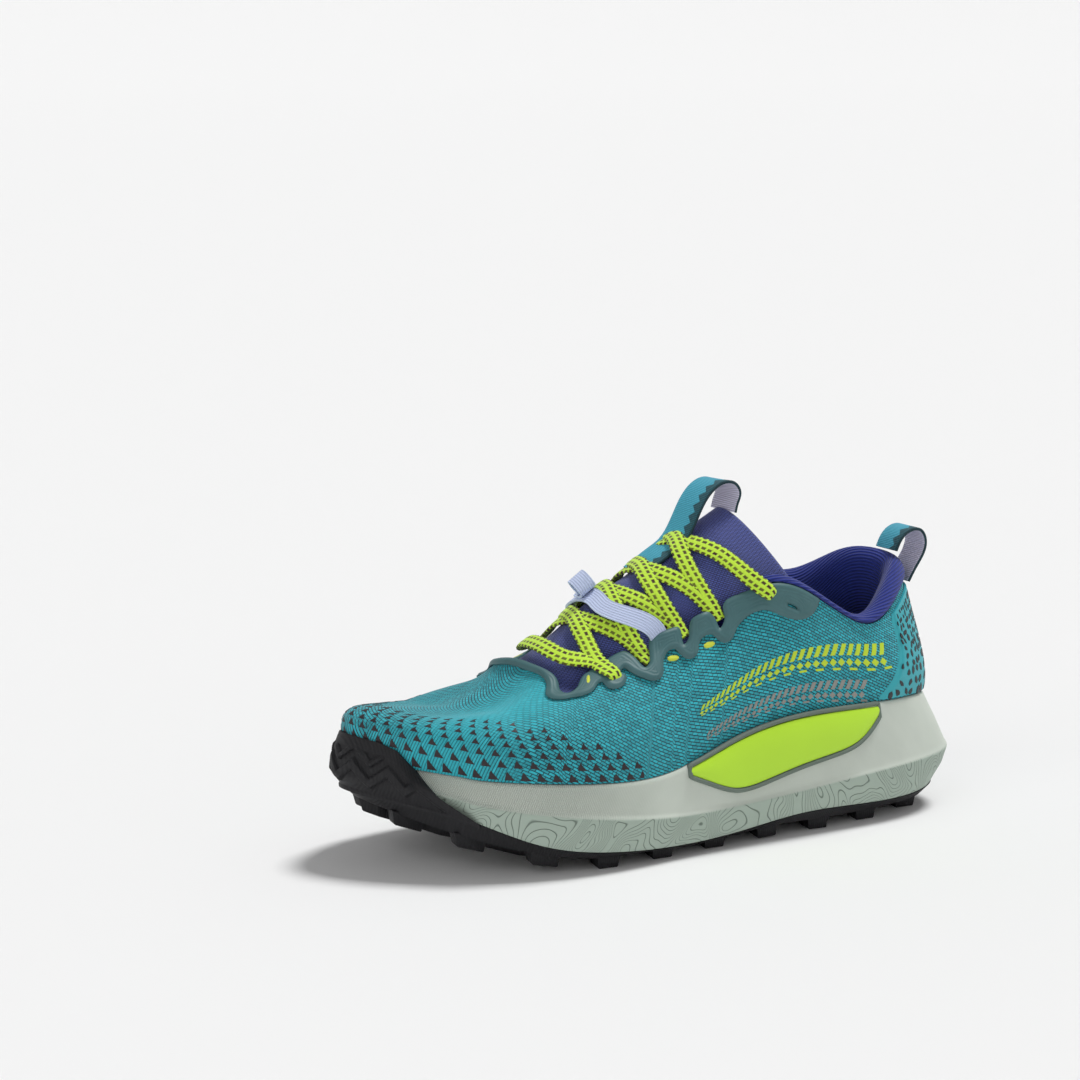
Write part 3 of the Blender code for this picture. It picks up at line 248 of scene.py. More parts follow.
def spline(where, values, closed=False):
    """A curve with steady bending through the rows, as a function of the place along it."""
    values = np.asarray(values, float)
    count = len(where)
    if closed:
        where = np.append(where, where[0] + 1.0)
        values = np.vstack([values, values[:1]])
    step = np.diff(where)
    slope = np.diff(values, axis=0) / step[:, None]
    system = np.zeros((count, count))
    load = np.zeros((count, values.shape[1]))
    for i in range(count):
        if not closed and i in (0, count - 1):
            system[i, i] = 1.0
            continue
        before = step[i - 1]
        after = step[i]
        system[i, i - 1] += before
        system[i, i] += 2 * (before + after)
        system[i, (i + 1) % count] += after
        load[i] = 6 * (slope[i] - slope[i - 1])
    bend = np.linalg.solve(system, load)
    if closed:
        bend = np.vstack([bend, bend[:1]])

    def curve(place):
        place = np.atleast_1d(np.asarray(place, float))
        if closed:
            place = where[0] + (place - where[0]) % 1.0
        i = np.clip(np.searchsorted(where, place, side="right") - 1, 0, len(step) - 1)
        width = step[i]
        a = ((where[i + 1] - place) / width)[:, None]
        b = ((place - where[i]) / width)[:, None]
        cubic = (a ** 3 - a) * bend[i] + (b ** 3 - b) * bend[i + 1]
        return a * values[i] + b * values[i + 1] + cubic * (width ** 2)[:, None] / 6

    return curve


def smooth(share):
    """0 below 0, 1 above 1, and an even curve between."""
    share = np.clip(share, 0.0, 1.0)
    return share * share * (3 - 2 * share)


def unit(vectors):
    return vectors / np.maximum(np.linalg.norm(vectors, axis=-1, keepdims=True), 1e-12)


def run_along(points):
    """How far along a line each of its points lies."""
    return np.concatenate([[0.0], np.cumsum(np.linalg.norm(np.diff(points, axis=0), axis=1))])


def around_places():
    """How far round the rim each row lies, by the length of the ridge line."""
    ridge = SOLE[:, :2] * (LENGTH, BALL_WIDTH)
    total = run_along(np.vstack([ridge, ridge[:1]]))
    return total[:-1] / total[-1]


PLACES = around_places()
SOLE_CURVE = spline(PLACES, SOLE, closed=True)
UPPER_CURVE = spline(PLACES, UPPER, closed=True)
FOOTBED_CURVE = spline(FOOTBED[:, 0], FOOTBED[:, 1:])
TONGUE_CURVE = spline(-TONGUE_LINE[:, 0], TONGUE_LINE[:, 1:])
TOE = PLACES[11]


def spring(x):
    """How far the tread is lifted off the floor: under the toe and a little under the arch."""
    start = 0.16 * LENGTH
    toe = np.clip((x - start) / (0.487 * LENGTH - start), 0.0, 1.2) ** 1.6
    arch = np.clip(1 - np.abs(x + 0.155 * LENGTH) / (0.10 * LENGTH), 0.0, 1.0)
    return TOE_SPRING * toe + ARCH_LIFT * smooth(arch)


def side_place(x, inner=False):
    """The place round the rim where the ridge line passes this x."""
    if inner:
        around = np.linspace(TOE, 1.0, 400)
        line = SOLE_CURVE(around)[:, 0] * LENGTH
        return float(np.interp(-x, -line, around))
    around = np.linspace(0.0, TOE, 400)
    return float(np.interp(x, SOLE_CURVE(around)[:, 0] * LENGTH, around))


def edge_place(x, inner=False):
    """The place round the rim where the top edge of the upper passes this x."""
    ends = (PLACES[14], PLACES[20]) if inner else (PLACES[1], PLACES[8])
    around = np.linspace(ends[0], ends[1], 400)
    line = UPPER_CURVE(around)[:, 0] * LENGTH
    if inner:
        return float(np.interp(-x, -line, around))
    return float(np.interp(x, line, around))


def ridge_line(around):
    """Points of the ridge line in plan, and the outward direction there."""
    step = 1e-4
    points = SOLE_CURVE(around)[:, :2] * (LENGTH, BALL_WIDTH)
    ahead = SOLE_CURVE(around + step)[:, :2] * (LENGTH, BALL_WIDTH)
    behind = SOLE_CURVE(around - step)[:, :2] * (LENGTH, BALL_WIDTH)
    way = unit(ahead - behind)
    return points, np.stack([-way[:, 1], way[:, 0]], axis=1)


def ring(around, inset, height):
    """A ring of points inside the ridge line."""
    points, out = ridge_line(around)
    plan = points - out * np.asarray(inset)[:, None]
    return np.column_stack([plan, height])


def under_bumper(around):
    """1 where the toe bumper covers the foam, 0 elsewhere."""
    start, full = (share * LENGTH for share in BUMPER_BED)
    x = SOLE_CURVE(around)[:, 0] * LENGTH
    return smooth((x - start) / (full - start))


def side_rings(around):
    """Foam side from its foot to its top edge: inset and height of each ring."""
    columns = SOLE_CURVE(around)
    split, ridge, top = (columns[:, i] * SOLE_HEIGHT for i in (2, 3, 4))
    top_in = columns[:, 5] * FLARE
    split_in = columns[:, 6] * FLARE
    bed = under_bumper(around) * (BUMPER_WALL + CLEARANCE)
    half_step = RIDGE_STEP / 2
    return [
        (split_in + bed, split),
        (0.32 * split_in + bed, 0.5 * (split + ridge)),
        (bed, ridge - half_step),
        (np.minimum(RIDGE_STEP, top_in) + bed, ridge + half_step),
        (0.45 * top_in + 0.5 * RIDGE_STEP + bed, 0.5 * (ridge + top)),
        (np.maximum(top_in - SHELF_EDGE / 2, 0) + bed, top - SHELF_EDGE),
        (top_in + SHELF_EDGE / 2 + bed, top),
    ]


def side_inset(around, height):
    """Inset of the foam side at a height, between the rings."""
    rings = side_rings(around)
    result = np.zeros(len(around))
    for k in range(len(around)):
        heights = [level[k] for _, level in rings]
        insets = [inset[k] for inset, _ in rings]
        result[k] = np.interp(height[k], heights, insets)
    return result


def feather(around):
    """Bottom edge of the upper's outer face, on the shelf of the foam."""
    columns = SOLE_CURVE(around)
    bed = under_bumper(around) * (BUMPER_WALL + CLEARANCE)
    inset = columns[:, 5] * FLARE + SHELF_EDGE + bed
    return ring(around, inset, columns[:, 4] * SOLE_HEIGHT + CLEARANCE)


# The stitched toe stands this much fuller than the plain solid
TOE_FILL = 0.0062


def shell(around, share):
    """Outer face of the upper: share 0 at the sole, 1 at the top edge."""
    around = np.atleast_1d(np.asarray(around, float))
    share = np.broadcast_to(np.asarray(share, float), around.shape)[:, None]
    columns = UPPER_CURVE(around)
    _, out = ridge_line(around)
    foot = feather(around)
    edge = columns[:, :3] * (LENGTH, BALL_WIDTH, UPPER_RISE) + (0, 0, SOLE_HEIGHT)
    rise, lean, away, down = (columns[:, i, None] * UPPER_RISE for i in (3, 4, 5, 6))
    flat_out = np.column_stack([out, np.zeros(len(out))])
    reach = foot - edge
    reach[:, 2] = 0
    toward = unit(reach + flat_out * 0.2 * UPPER_RISE)
    up = np.array([0.0, 0.0, 1.0])
    low = foot + flat_out * lean + up * rise
    high = edge + toward * away - up * down
    rest = 1 - share
    face = rest ** 3 * foot + 3 * rest ** 2 * share * low + 3 * rest * share ** 2 * high + share ** 3 * edge
    full = smooth((face[:, 0] - 0.100) / 0.035) * smooth((face[:, 2] - 0.036) / 0.012)
    face[:, 0] += TOE_FILL * full * (1 - smooth((face[:, 2] - 0.064) / 0.014))
    return face


def shell_normal(around, share):
    """Outward direction of the upper's outer face."""
    around = np.atleast_1d(np.asarray(around, float))
    share = np.broadcast_to(np.asarray(share, float), around.shape)
    step = 1e-4
    along = shell(around + step, share) - shell(around - step, share)
    upward = shell(around, share + step) - shell(around, share - step)
    return unit(np.cross(upward, along))


def face_normal(around, share):
    """Outward direction of the upper's outer face, level at the sole."""
    normal = shell_normal(around, share)
    normal[:, 2] *= smooth(np.broadcast_to(share, normal[:, 0].shape) / 0.12)
    return unit(normal)


def shell_at(around, share, offset):
    """A point off the upper's outer face."""
    return shell(around, share) + face_normal(around, share) * np.asarray(offset)[..., None]


def share_below(around, depth):
    """The share at which the upper lies this far below its top edge, along the wall."""
    around = np.asarray(around, float)
    depth = np.asarray(depth, float)
    shares = np.linspace(1.0, 0.0, 61)
    line = shell(np.repeat(around, 61), np.tile(shares, len(around))).reshape(len(around), 61, 3)
    steps = np.cumsum(np.linalg.norm(np.diff(line, axis=1), axis=2), axis=1)
    run = np.concatenate([np.zeros((len(around), 1)), steps], axis=1)
    result = np.empty(depth.shape)
    for k in range(len(around)):
        result[k] = np.interp(depth[k], run[k], shares)
    return result


def throat_share(around):
    """1 along the lace throat, 0 round the collar."""
    front = COLLAR_FRONT * LENGTH
    x = UPPER_CURVE(around)[:, 0] * LENGTH
    return smooth((x - front) / (0.05 * LENGTH))


def front_share(around):
    """1 across the front of the throat, 0 along its sides."""
    corner = THROAT_CORNER * LENGTH
    x = UPPER_CURVE(around)[:, 0] * LENGTH
    return smooth((x - corner) / (0.03 * LENGTH))


def middle_of_sole():
    """Middle of the ridge line's box in plan, which becomes the origin."""
    plan = SOLE_CURVE(np.linspace(0.0, 1.0, 720))[:, :2] * (LENGTH, BALL_WIDTH)
    return 0.5 * (plan.min(axis=0) + plan.max(axis=0))


def footbed_height(x):
    return FOOTBED_CURVE(x / LENGTH)[:, 0] * SOLE_HEIGHT + spring(x)


def cup_inset(around):
    """Inset of the footbed's edge, inside the upper's wall."""
    bed = under_bumper(around) * (BUMPER_WALL + CLEARANCE)
    return SOLE_CURVE(around)[:, 5] * FLARE + SHELF_EDGE + WALL + 2 * CLEARANCE + bed


def tread_limit(x, inner):
    """Where the tread's edge lies at this x, on the outer or the inner side."""
    around = np.linspace(TOE, 1.0, 200) if inner else np.linspace(0.0, TOE, 200)
    line = ring(around, SOLE_CURVE(around)[:, 7] * FLARE + 0.0006, np.zeros(200))
    order = np.argsort(line[:, 0])
    return float(np.interp(x, line[order, 0], line[order, 1]))


def chevron(width):
    """A V that points forward, as an outline in plan."""
    half = width / 2
    arm = CHEVRON_ARM
    depth = 0.34 * width
    return [(0.5 * arm + depth / 2, 0.0), (0.5 * arm - depth / 2, -half), (-0.5 * arm - depth / 2, -half),
            (-0.5 * arm + depth / 2, 0.0), (-0.5 * arm - depth / 2, half), (0.5 * arm - depth / 2, half)]


def crest_height(x):
    return SOLE_HEIGHT + TONGUE_CURVE(-x / LENGTH)[:, 0] * UPPER_RISE


def throat_line(inner):
    """Points of the throat's side edge, from its front corner to the collar."""
    first = edge_place(0.170 * LENGTH, inner)
    last = edge_place(COLLAR_FRONT * LENGTH, inner)
    return shell(np.linspace(first, last, 80), 1.0)


def leaning_edge(x, inner):
    """Where the leaning section of the instep through this ridge point meets the throat's edge."""
    line = throat_line(inner)
    miss = line[:, 0] + INSTEP_LEAN * (crest_height(np.array([x]))[0] - line[:, 2])
    return np.array([np.interp(-x, -miss, line[:, i]) for i in range(3)])


def ridge_station(point):
    """The ridge point whose leaning section passes through a point of the throat."""
    stations = np.linspace(TONGUE_LINE[-1, 0] - 0.10, TONGUE_LINE[0, 0], 120) * LENGTH
    passes = stations - INSTEP_LEAN * (crest_height(stations) - point[2])
    return float(np.interp(point[0], passes, stations))


def tongue_section(x):
    """Middle, half width, crest height and base height of the tongue's section at this x."""
    crest = crest_height(np.array([x]))[0]
    half = TONGUE_CURVE(-x / LENGTH)[0, 1] * UPPER_RISE
    outer = leaning_edge(x, False)
    inner = leaning_edge(x, True)
    middle = 0.5 * (outer[1] + inner[1])
    reach = 0.5 * (outer[1] - inner[1])
    level = 0.5 * (outer[2] + inner[2]) - WALL - TONGUE_GAP
    ratio = min(reach / half, 0.94)
    fall = math.sqrt(1 - ratio * ratio)
    base = (level - crest * fall) / (1 - fall)
    return middle, half, crest, base


def tongue_point(x, turn, offset=0.0):
    """A point on the tongue's top face: turn is the angle from its ridge, outer side positive."""
    middle, half, crest, base = tongue_section(x)
    radius = crest - base
    y = middle + (half + offset) * math.sin(turn)
    z = base + (radius + offset) * math.cos(turn)
    return np.array([x - INSTEP_LEAN * (crest - min(z, crest)), y, z])


def pressed_under(points, depth):
    """Points moved in so that they stay this deep under the upper's outer face."""
    places = np.repeat(np.linspace(0.0, 1.0, 240, endpoint=False), 30)
    shares = np.tile(np.linspace(0.30, 1.0, 30), 240)
    surface = shell(places, shares)
    normals = shell_normal(places, shares)
    result = []
    for point in points:
        nearest = np.argmin(np.linalg.norm(surface - point, axis=1))
        away = point - surface[nearest]
        height = away @ normals[nearest]
        aside = np.linalg.norm(away - height * normals[nearest])
        hold = 1 - smooth((aside - 0.002) / 0.003)
        push = max(height + depth, 0.0) * hold
        result.append(point - push * normals[nearest])
    return result


def along_curve(points, count):
    """Even steps along a smooth curve through a few points. Later columns are carried along."""
    points = np.asarray(points, float)
    chords = np.linalg.norm(np.diff(points[:, :3], axis=0), axis=1)
    where = np.concatenate([[0.0], np.cumsum(chords)]) / chords.sum()
    return spline(where, points)(np.linspace(0.0, 1.0, count))


def tongue_facing(x, turn):
    """Outward direction of the tongue's top face."""
    ahead = tongue_point(x + 0.001, turn) - tongue_point(x - 0.001, turn)
    aside = tongue_point(x, turn + 0.02) - tongue_point(x, turn - 0.02)
    return unit(np.cross(ahead, aside))


SHIFT = np.array([*middle_of_sole(), 0.0])
MM = 0.001

# The film's outline on the outer side: how far along the throat's edge from its front, and how
# far below that edge, in mm. The inner side repeats it, scaled to its own length.
FILM_OUTER = np.array([
    (0, 3.6), (10, 3.6), (19, 3.7), (23, 4.8), (25.5, 7.4), (27, 11), (28.6, 13.3), (31, 14.1), (35, 13.9),
    (40, 14.9), (44.5, 15.4), (47.2, 13.8), (48.6, 11.6), (50.5, 11.8), (52.5, 14.5), (55, 18), (58.5, 19.9),
    (62, 19.3), (63.4, 16.8), (62.4, 13.8), (60.4, 11.2), (61.4, 10.0), (64.1, 11.9), (68.4, 16.5),
    (73.5, 20.3), (77.6, 22.3), (80.6, 21.8), (82, 18.5), (81.8, 15), (82.8, 11.6), (85.2, 9.6), (87.6, 9.9),
    (90, 12.7), (92.8, 16), (96.6, 18), (99.4, 16.7), (100.1, 13.4), (100.9, 11.3), (103.5, 10.6),
    (107, 11.5), (109.2, 14), (111.6, 16.8), (115.4, 18.9), (118, 17.6), (119.6, 14.9), (122, 12.8),
    (125.8, 11.4), (129.5, 10.9), (133, 11.1), (137, 12.6), (142.4, 14.9), (148.5, 15.1), (152.6, 13.3),
    (157.5, 9.4), (160.6, 5.2), (163.2, 0.8),
])
FILM_INNER = np.array([
    (0, 0.15), (13, 0.15), (22, 0.15), (26, 0.5), (28.3, 2.4), (30, 5.5), (32.8, 8.9), (35.6, 10.2),
    (37.6, 8.6), (38.6, 5), (39.2, 1.8), (41, 0.2), (46, 0.15), (52, 0.15), (59, 0.15), (62.6, 0.8),
    (65.5, 3.6), (68.7, 8.2), (71.3, 12.6), (73.4, 14.4), (75.0, 13.6), (75.6, 11), (75.5, 7), (75.7, 3),
    (77, 0.5), (82, 0.15), (87, 0.15), (90, 0.7), (91.2, 3.5), (91.7, 7.5), (93, 10.1), (94.7, 9.2),
    (95.6, 6.5), (96, 3), (97.2, 0.5), (101, 0.15), (104.8, 0.5), (107.4, 2.8), (109.5, 6.8),
    (112, 11.0), (113.7, 9.2), (114, 6), (113.6, 2.6), (115, 0.4), (120, 0.15), (140, 0.15), (155, 0.15),
    (162.4, 0.4),
])
FILM_SLOT = (146.6, 9.6)
FILM_EYELET = (137.2, 5.2)
RING_RADIUS = 3.8
BRIDGES = ((83.0, 8.5), (101.5, 6.5))

# Where the lace runs end: along the throat's edge, below it, and off the upper's face, in mm
LACE_TIPS = {
    "front": ((58.6, 15.4, 0.6), (57.4, 13.2, 2.7), (53.5, 7.5, 2.8), (49.5, 1.5, 2.9)),
    "one": ((76.0, 11.0, -0.9), (72.6, 6.5, -0.9), (70.6, 2.5, -1.1)),
    "two": ((93.6, 6.0, -0.7), (91.6, 2.4, -0.9)),
    "three": ((111.8, 7.0, -0.7), (109.6, 2.6, -0.9)),
    "top": ((137.6, 6.2, 0.6), (136.2, 4.6, 2.7), (132.6, 1.0, 2.9)),
}


def edge_table():
    """Places round the rim and how far each lies from the throat's front, outer side positive."""
    around = np.linspace(PLACES[1], PLACES[20], 3000)
    run = run_along(shell(around, 1.0))
    run = np.interp(TOE, around, run) - run
    return run[::-1], around[::-1]


EDGE_RUN, EDGE_PLACE = edge_table()


def run_at(x, inner):
    place = edge_place(x * LENGTH, inner)
    return float(np.interp(-place, -EDGE_PLACE, EDGE_RUN))


INNER_SCALE = -run_at(EYESTAY_END, True) / run_at(EYESTAY_END, False)


def place_at(run):
    """The place round the rim this far along the throat's edge, in metres, outer side positive."""
    run = np.asarray(run, float)
    return np.interp(np.where(run < 0, run * INNER_SCALE, run), EDGE_RUN, EDGE_PLACE)


def on_edge(run, depth, offset):
    """Points off the upper's face, placed along and below the throat's edge, in metres."""
    run = np.atleast_1d(np.asarray(run, float))
    around = place_at(run)
    depth = np.broadcast_to(np.asarray(depth, float), run.shape)
    return shell_at(around, share_below(around, depth), np.broadcast_to(offset, run.shape))


def only(thing):
    """Makes this the one selected and active object."""
    bpy.ops.object.select_all(action="DESELECT")
    thing.select_set(True)
    bpy.context.view_layer.objects.active = thing


def metric(points):
    """Lengths along the middle row and down each column of a surface, for its UV map."""
    along = run_along(points[:, points.shape[1] // 2])
    rows = np.linalg.norm(np.diff(points, axis=1), axis=2)
    down = np.concatenate([np.zeros((len(points), 1)), np.cumsum(rows, axis=1)], axis=1)
    return np.stack([np.broadcast_to(along[:, None], down.shape), down], axis=2)


def bent_grid(name, points, cloth=None, tags=None, bands=None):
    """A grid primitive whose corners are laid on an array of points: columns, rows, 3."""
    columns = points.shape[0] - 1
    rows = points.shape[1] - 1
    bpy.ops.object.select_all(action="DESELECT")
    bpy.ops.mesh.primitive_grid_add(x_subdivisions=columns, y_subdivisions=rows, size=2)
    thing = bpy.context.object
    thing.name = name
    mesh = thing.data
    mesh.name = name
    flat = np.empty(len(mesh.vertices) * 3, np.float32)
    mesh.vertices.foreach_get("co", flat)
    flat = flat.reshape(-1, 3)
    i = np.rint((flat[:, 0] + 1) / 2 * columns).astype(int)
    j = np.rint((flat[:, 1] + 1) / 2 * rows).astype(int)
    mesh.vertices.foreach_set("co", (points[i, j] - SHIFT).astype(np.float32).ravel())
    corner = np.empty(len(mesh.loops), np.int32)
    mesh.loops.foreach_get("vertex_index", corner)
    spread = metric(points) if cloth is None else cloth
    mesh.uv_layers[0].name = "cloth"
    mesh.uv_layers[0].data.foreach_set("uv", spread[i[corner], j[corner]].astype(np.float32).ravel())
    for tag, values in (tags or {}).items():
        mesh.attributes.new(tag, "FLOAT", "POINT").data.foreach_set("value", values[i, j].astype(np.float32))
    if bands is not None:
        lowest = j[corner].reshape(-1, 4).min(axis=1)
        mesh.polygons.foreach_set("material_index", np.asarray(bands, np.int32)[lowest])
    mesh.update()
    return thing


def close_up(thing, inside_out=False):
    """Joins the rows that meet, and turns the faces outwards."""
    only(thing)
    bpy.ops.object.mode_set(mode="EDIT")
    bpy.ops.mesh.select_all(action="SELECT")
    bpy.ops.mesh.remove_doubles(threshold=1e-6)
    bpy.ops.mesh.normals_make_consistent(inside=inside_out)
    bpy.ops.object.mode_set(mode="OBJECT")
    return thing


def fit_out(thing, materials, slot=None, nodes=(), sharp=40):
    """Gives a finished piece its materials, body and the nodes that it stands for; slot is not used."""
    for material in materials:
        thing.data.materials.append(material)
    thing.data.shade_smooth()
    thing.data.set_sharp_from_angle(angle=math.radians(sharp))
    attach(thing, "root")
    if nodes:
        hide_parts(*nodes)
    return thing


# Materials


def linear(code):
    """An sRGB hex colour in linear light."""
    parts = [int(code[k:k + 2], 16) / 255 for k in (1, 3, 5)]
    return (*[c / 12.92 if c <= 0.04045 else ((c + 0.055) / 1.055) ** 2.4 for c in parts], 1.0)


def add(tree, kind, inputs=None, **settings):
    """Adds a node with its settings; an input is a value or the output it is linked to."""
    made = tree.nodes.new(kind)
    for name, value in settings.items():
        setattr(made, name, value)
    for key, value in (inputs or {}).items():
        if isinstance(value, bpy.types.NodeSocket):
            tree.links.new(value, made.inputs[key])
        else:
            made.inputs[key].default_value = value
    return made


def new_material(name, code, roughness, **sockets):
    material = bpy.data.materials.new(name)
    material.use_nodes = True
    surface = material.node_tree.nodes["Principled BSDF"]
    surface.inputs["Base Color"].default_value = linear(code)
    surface.inputs["Roughness"].default_value = roughness
    for key, value in sockets.items():
        surface.inputs[key.replace("_", " ")].default_value = value
    return material, material.node_tree, surface


def cloth_map(tree, turn=0.0):
    """The piece's own cloth coordinates in millimetres, turned by an angle."""
    uv = add(tree, "ShaderNodeUVMap", uv_map="cloth")
    scaled = add(tree, "ShaderNodeVectorMath", {0: uv.outputs[0], 1: (1000, 1000, 1000)},
                 operation="MULTIPLY")
    turned = add(tree, "ShaderNodeMapping", {"Vector": scaled.outputs[0], "Rotation": (0, 0, turn)})
    return turned.outputs[0]


def relief(tree, surface, height, distance, strength=1.0, below=None):
    inputs = {"Height": height, "Distance": distance, "Strength": strength}
    if below is not None:
        inputs["Normal"] = below
    bumped = add(tree, "ShaderNodeBump", inputs)
    tree.links.new(bumped.outputs[0], surface.inputs["Normal"])
    return bumped.outputs[0]


def thread_cloth(name, ground, dash, stitch, turn, lift, shade=0.22, soft=0.3):
    """Knit or braid, matte with a faint sheen: dashes of one thread between rows of another.

    stitch: a dash's length, the rows' pitch and half the gap, in mm, coarser than the real threads
    so that they show.
    """
    material, tree, surface = new_material(name, ground, 0.85, Sheen_Weight=0.2, Sheen_Roughness=0.5)
    where = cloth_map(tree, turn)
    bricks = add(tree, "ShaderNodeTexBrick", {
        "Vector": where, "Color1": (1, 1, 1, 1), "Color2": (0.8, 0.8, 0.8, 1), "Mortar": (0, 0, 0, 1),
        "Scale": 1.0, "Mortar Size": stitch[2], "Mortar Smooth": soft, "Brick Width": stitch[0],
        "Row Height": stitch[1]}, offset=0.5, offset_frequency=2)
    factor = bricks.outputs["Color"]
    fuzz = add(tree, "ShaderNodeTexNoise", {"Vector": where, "Scale": 1.6, "Detail": 3.0, "Roughness": 0.65})
    low = [c * (1 - shade) for c in linear(ground)[:3]] + [1]
    high = [min(c * (1 + shade) + 0.2 * shade, 1) for c in linear(ground)[:3]] + [1]
    threads = add(tree, "ShaderNodeMix", {0: fuzz.outputs["Fac"], 6: low, 7: high}, data_type="RGBA")
    mixed = add(tree, "ShaderNodeMix", {0: factor, 6: threads.outputs[2], 7: linear(dash)}, data_type="RGBA")
    tree.links.new(mixed.outputs[2], surface.inputs["Base Color"])
    height = add(tree, "ShaderNodeMath", {0: fuzz.outputs["Fac"], 1: factor}, operation="SUBTRACT")
    relief(tree, surface, height.outputs[0], lift, 0.7)
    return material


def knit_skin():
    """Polyester knit: matte, light floats in slanted rows over a dark ground, in long ribs at the toe."""
    material, tree, surface = new_material("polyester_knit_turquoise", "#22AEBD", 0.8, Sheen_Weight=0.15,
                                           Sheen_Roughness=0.4)
    spot = add(tree, "ShaderNodeTexCoord").outputs["Object"]
    mirrored = add(tree, "ShaderNodeVectorMath", {0: spot}, operation="ABSOLUTE").outputs["Vector"]
    over = add(tree, "ShaderNodeVectorMath", {0: mirrored, 1: (500, -750, 450)}, operation="DOT_PRODUCT")
    slanted = add(tree, "ShaderNodeCombineXYZ", {"X": 1.0, "Y": over.outputs["Value"]}).outputs[0]
    floats = []
    for where, long, row, gap in ((cloth_map(tree, math.radians(-29)), 3.1, 1.3, 0.23),
                                  (slanted, 900.0, 1.25, 0.24)):
        bricks = add(tree, "ShaderNodeTexBrick", {
            "Vector": where, "Color1": (1, 1, 1, 1), "Color2": (0.6, 0.6, 0.6, 1), "Mortar": (0, 0, 0, 1),
            "Scale": 1.0, "Mortar Size": gap, "Mortar Smooth": 0.6, "Brick Width": long, "Row Height": row},
            offset=0.5, offset_frequency=2)
        floats.append(bricks.outputs["Color"])
    toe, dark = (
        add(tree, "ShaderNodeAttribute", attribute_name=tag, attribute_type="GEOMETRY").outputs["Fac"]
        for tag in ("toe", "dark"))
    share = add(tree, "ShaderNodeMix", {0: toe, 6: floats[0], 7: floats[1]}, data_type="RGBA").outputs[2]
    fuzz = add(tree, "ShaderNodeTexNoise", {"Vector": cloth_map(tree), "Scale": 1.1, "Detail": 2.0})
    thread = add(tree, "ShaderNodeMix", {0: fuzz.outputs["Fac"], 6: linear("#159FB2"), 7: linear("#43D0DC")},
                 data_type="RGBA")
    ground = add(tree, "ShaderNodeMix", {0: dark, 6: linear("#23AEBC"), 7: linear("#04232D")},
                 data_type="RGBA")
    mixed = add(tree, "ShaderNodeMix", {0: share, 6: ground.outputs[2], 7: thread.outputs[2]},
                data_type="RGBA")
    tree.links.new(mixed.outputs[2], surface.inputs["Base Color"])
    relief(tree, surface, share, 0.0004, 0.8)
    return material


def plain_fabric(name, code, pitch, turn, lift, shade=0.18):
    """A cloth of one colour, matte with a faint sheen, with ribs at a pitch in mm."""
    material, tree, surface = new_material(name, code, 0.85, Sheen_Weight=0.15, Sheen_Roughness=0.5)
    where = cloth_map(tree, turn)
    ribs = add(tree, "ShaderNodeTexWave", {
        "Vector": where, "Scale": math.pi / (10 * pitch), "Distortion": 0.25, "Detail": 1.0,
        "Detail Scale": 2.0}, bands_direction="Y", wave_profile="SIN")
    low = [c * (1 - 2 * shade) for c in linear(code)[:3]] + [1]
    high = [min(c * (1 + shade), 1) for c in linear(code)[:3]] + [1]
    tint = add(tree, "ShaderNodeMix", {0: ribs.outputs["Fac"], 6: low, 7: high}, data_type="RGBA")
    tree.links.new(tint.outputs[2], surface.inputs["Base Color"])
    relief(tree, surface, ribs.outputs["Fac"], lift, 0.8)
    return material


def webbing_skin():
    """Woven webbing: fine turquoise ribs with a dark jagged stripe woven in along one edge."""
    material, tree, surface = new_material("webbing_turquoise", "#3DA3BD", 0.8, Sheen_Weight=0.1)
    where = cloth_map(tree)
    parts = add(tree, "ShaderNodeSeparateXYZ", {"Vector": where})
    jag = add(tree, "ShaderNodeMath", {0: parts.outputs["X"], 1: 2.6}, operation="PINGPONG")
    reach = add(tree, "ShaderNodeMath", {0: jag.outputs[0], 1: 1.1, 2: 2.6}, operation="MULTIPLY_ADD")
    past = add(tree, "ShaderNodeMath", {0: parts.outputs["Y"], 1: reach.outputs[0]}, operation="SUBTRACT")
    stripe = add(tree, "ShaderNodeMapRange", {"Value": past.outputs[0], "From Min": -0.2, "From Max": 0.2})
    turned = cloth_map(tree, math.radians(90))
    ribs = add(tree, "ShaderNodeTexWave", {"Vector": turned, "Scale": math.pi / 8, "Distortion": 0.2},
               bands_direction="Y")
    light = add(tree, "ShaderNodeMix", {0: ribs.outputs["Fac"], 6: linear("#2C8CA6"), 7: linear("#4BB4CC")},
                data_type="RGBA")
    deep = add(tree, "ShaderNodeMix", {0: ribs.outputs["Fac"], 6: linear("#07303B"), 7: linear("#14616D")},
               data_type="RGBA")
    woven = add(tree, "ShaderNodeMix", {0: stripe.outputs[0], 6: light.outputs[2], 7: deep.outputs[2]},
                data_type="RGBA")
    tree.links.new(woven.outputs[2], surface.inputs["Base Color"])
    relief(tree, surface, ribs.outputs["Fac"], 0.0002, 0.7)
    return material


def moulded(name, code, grain, lift, roughness, dirt=0.12, **sockets):
    """Foam, film, ink or thread of one colour: fine grain and slight clouding break up its gloss."""
    material, tree, surface = new_material(name, code, roughness, **sockets)
    spot = add(tree, "ShaderNodeTexCoord")
    fine = add(tree, "ShaderNodeTexNoise", {"Vector": spot.outputs["Object"], "Scale": grain, "Detail": 3.0})
    broad = add(tree, "ShaderNodeTexNoise", {"Vector": spot.outputs["Object"], "Scale": 35.0, "Detail": 3.0})
    low = [c * (1 - dirt) for c in linear(code)[:3]] + [1]
    high = [min(c * (1 + dirt), 1) for c in linear(code)[:3]] + [1]
    tint = add(tree, "ShaderNodeMix", {0: broad.outputs["Fac"], 6: low, 7: high}, data_type="RGBA")
    tree.links.new(tint.outputs[2], surface.inputs["Base Color"])
    relief(tree, surface, fine.outputs["Fac"], lift, 0.5)
    return material, tree, surface


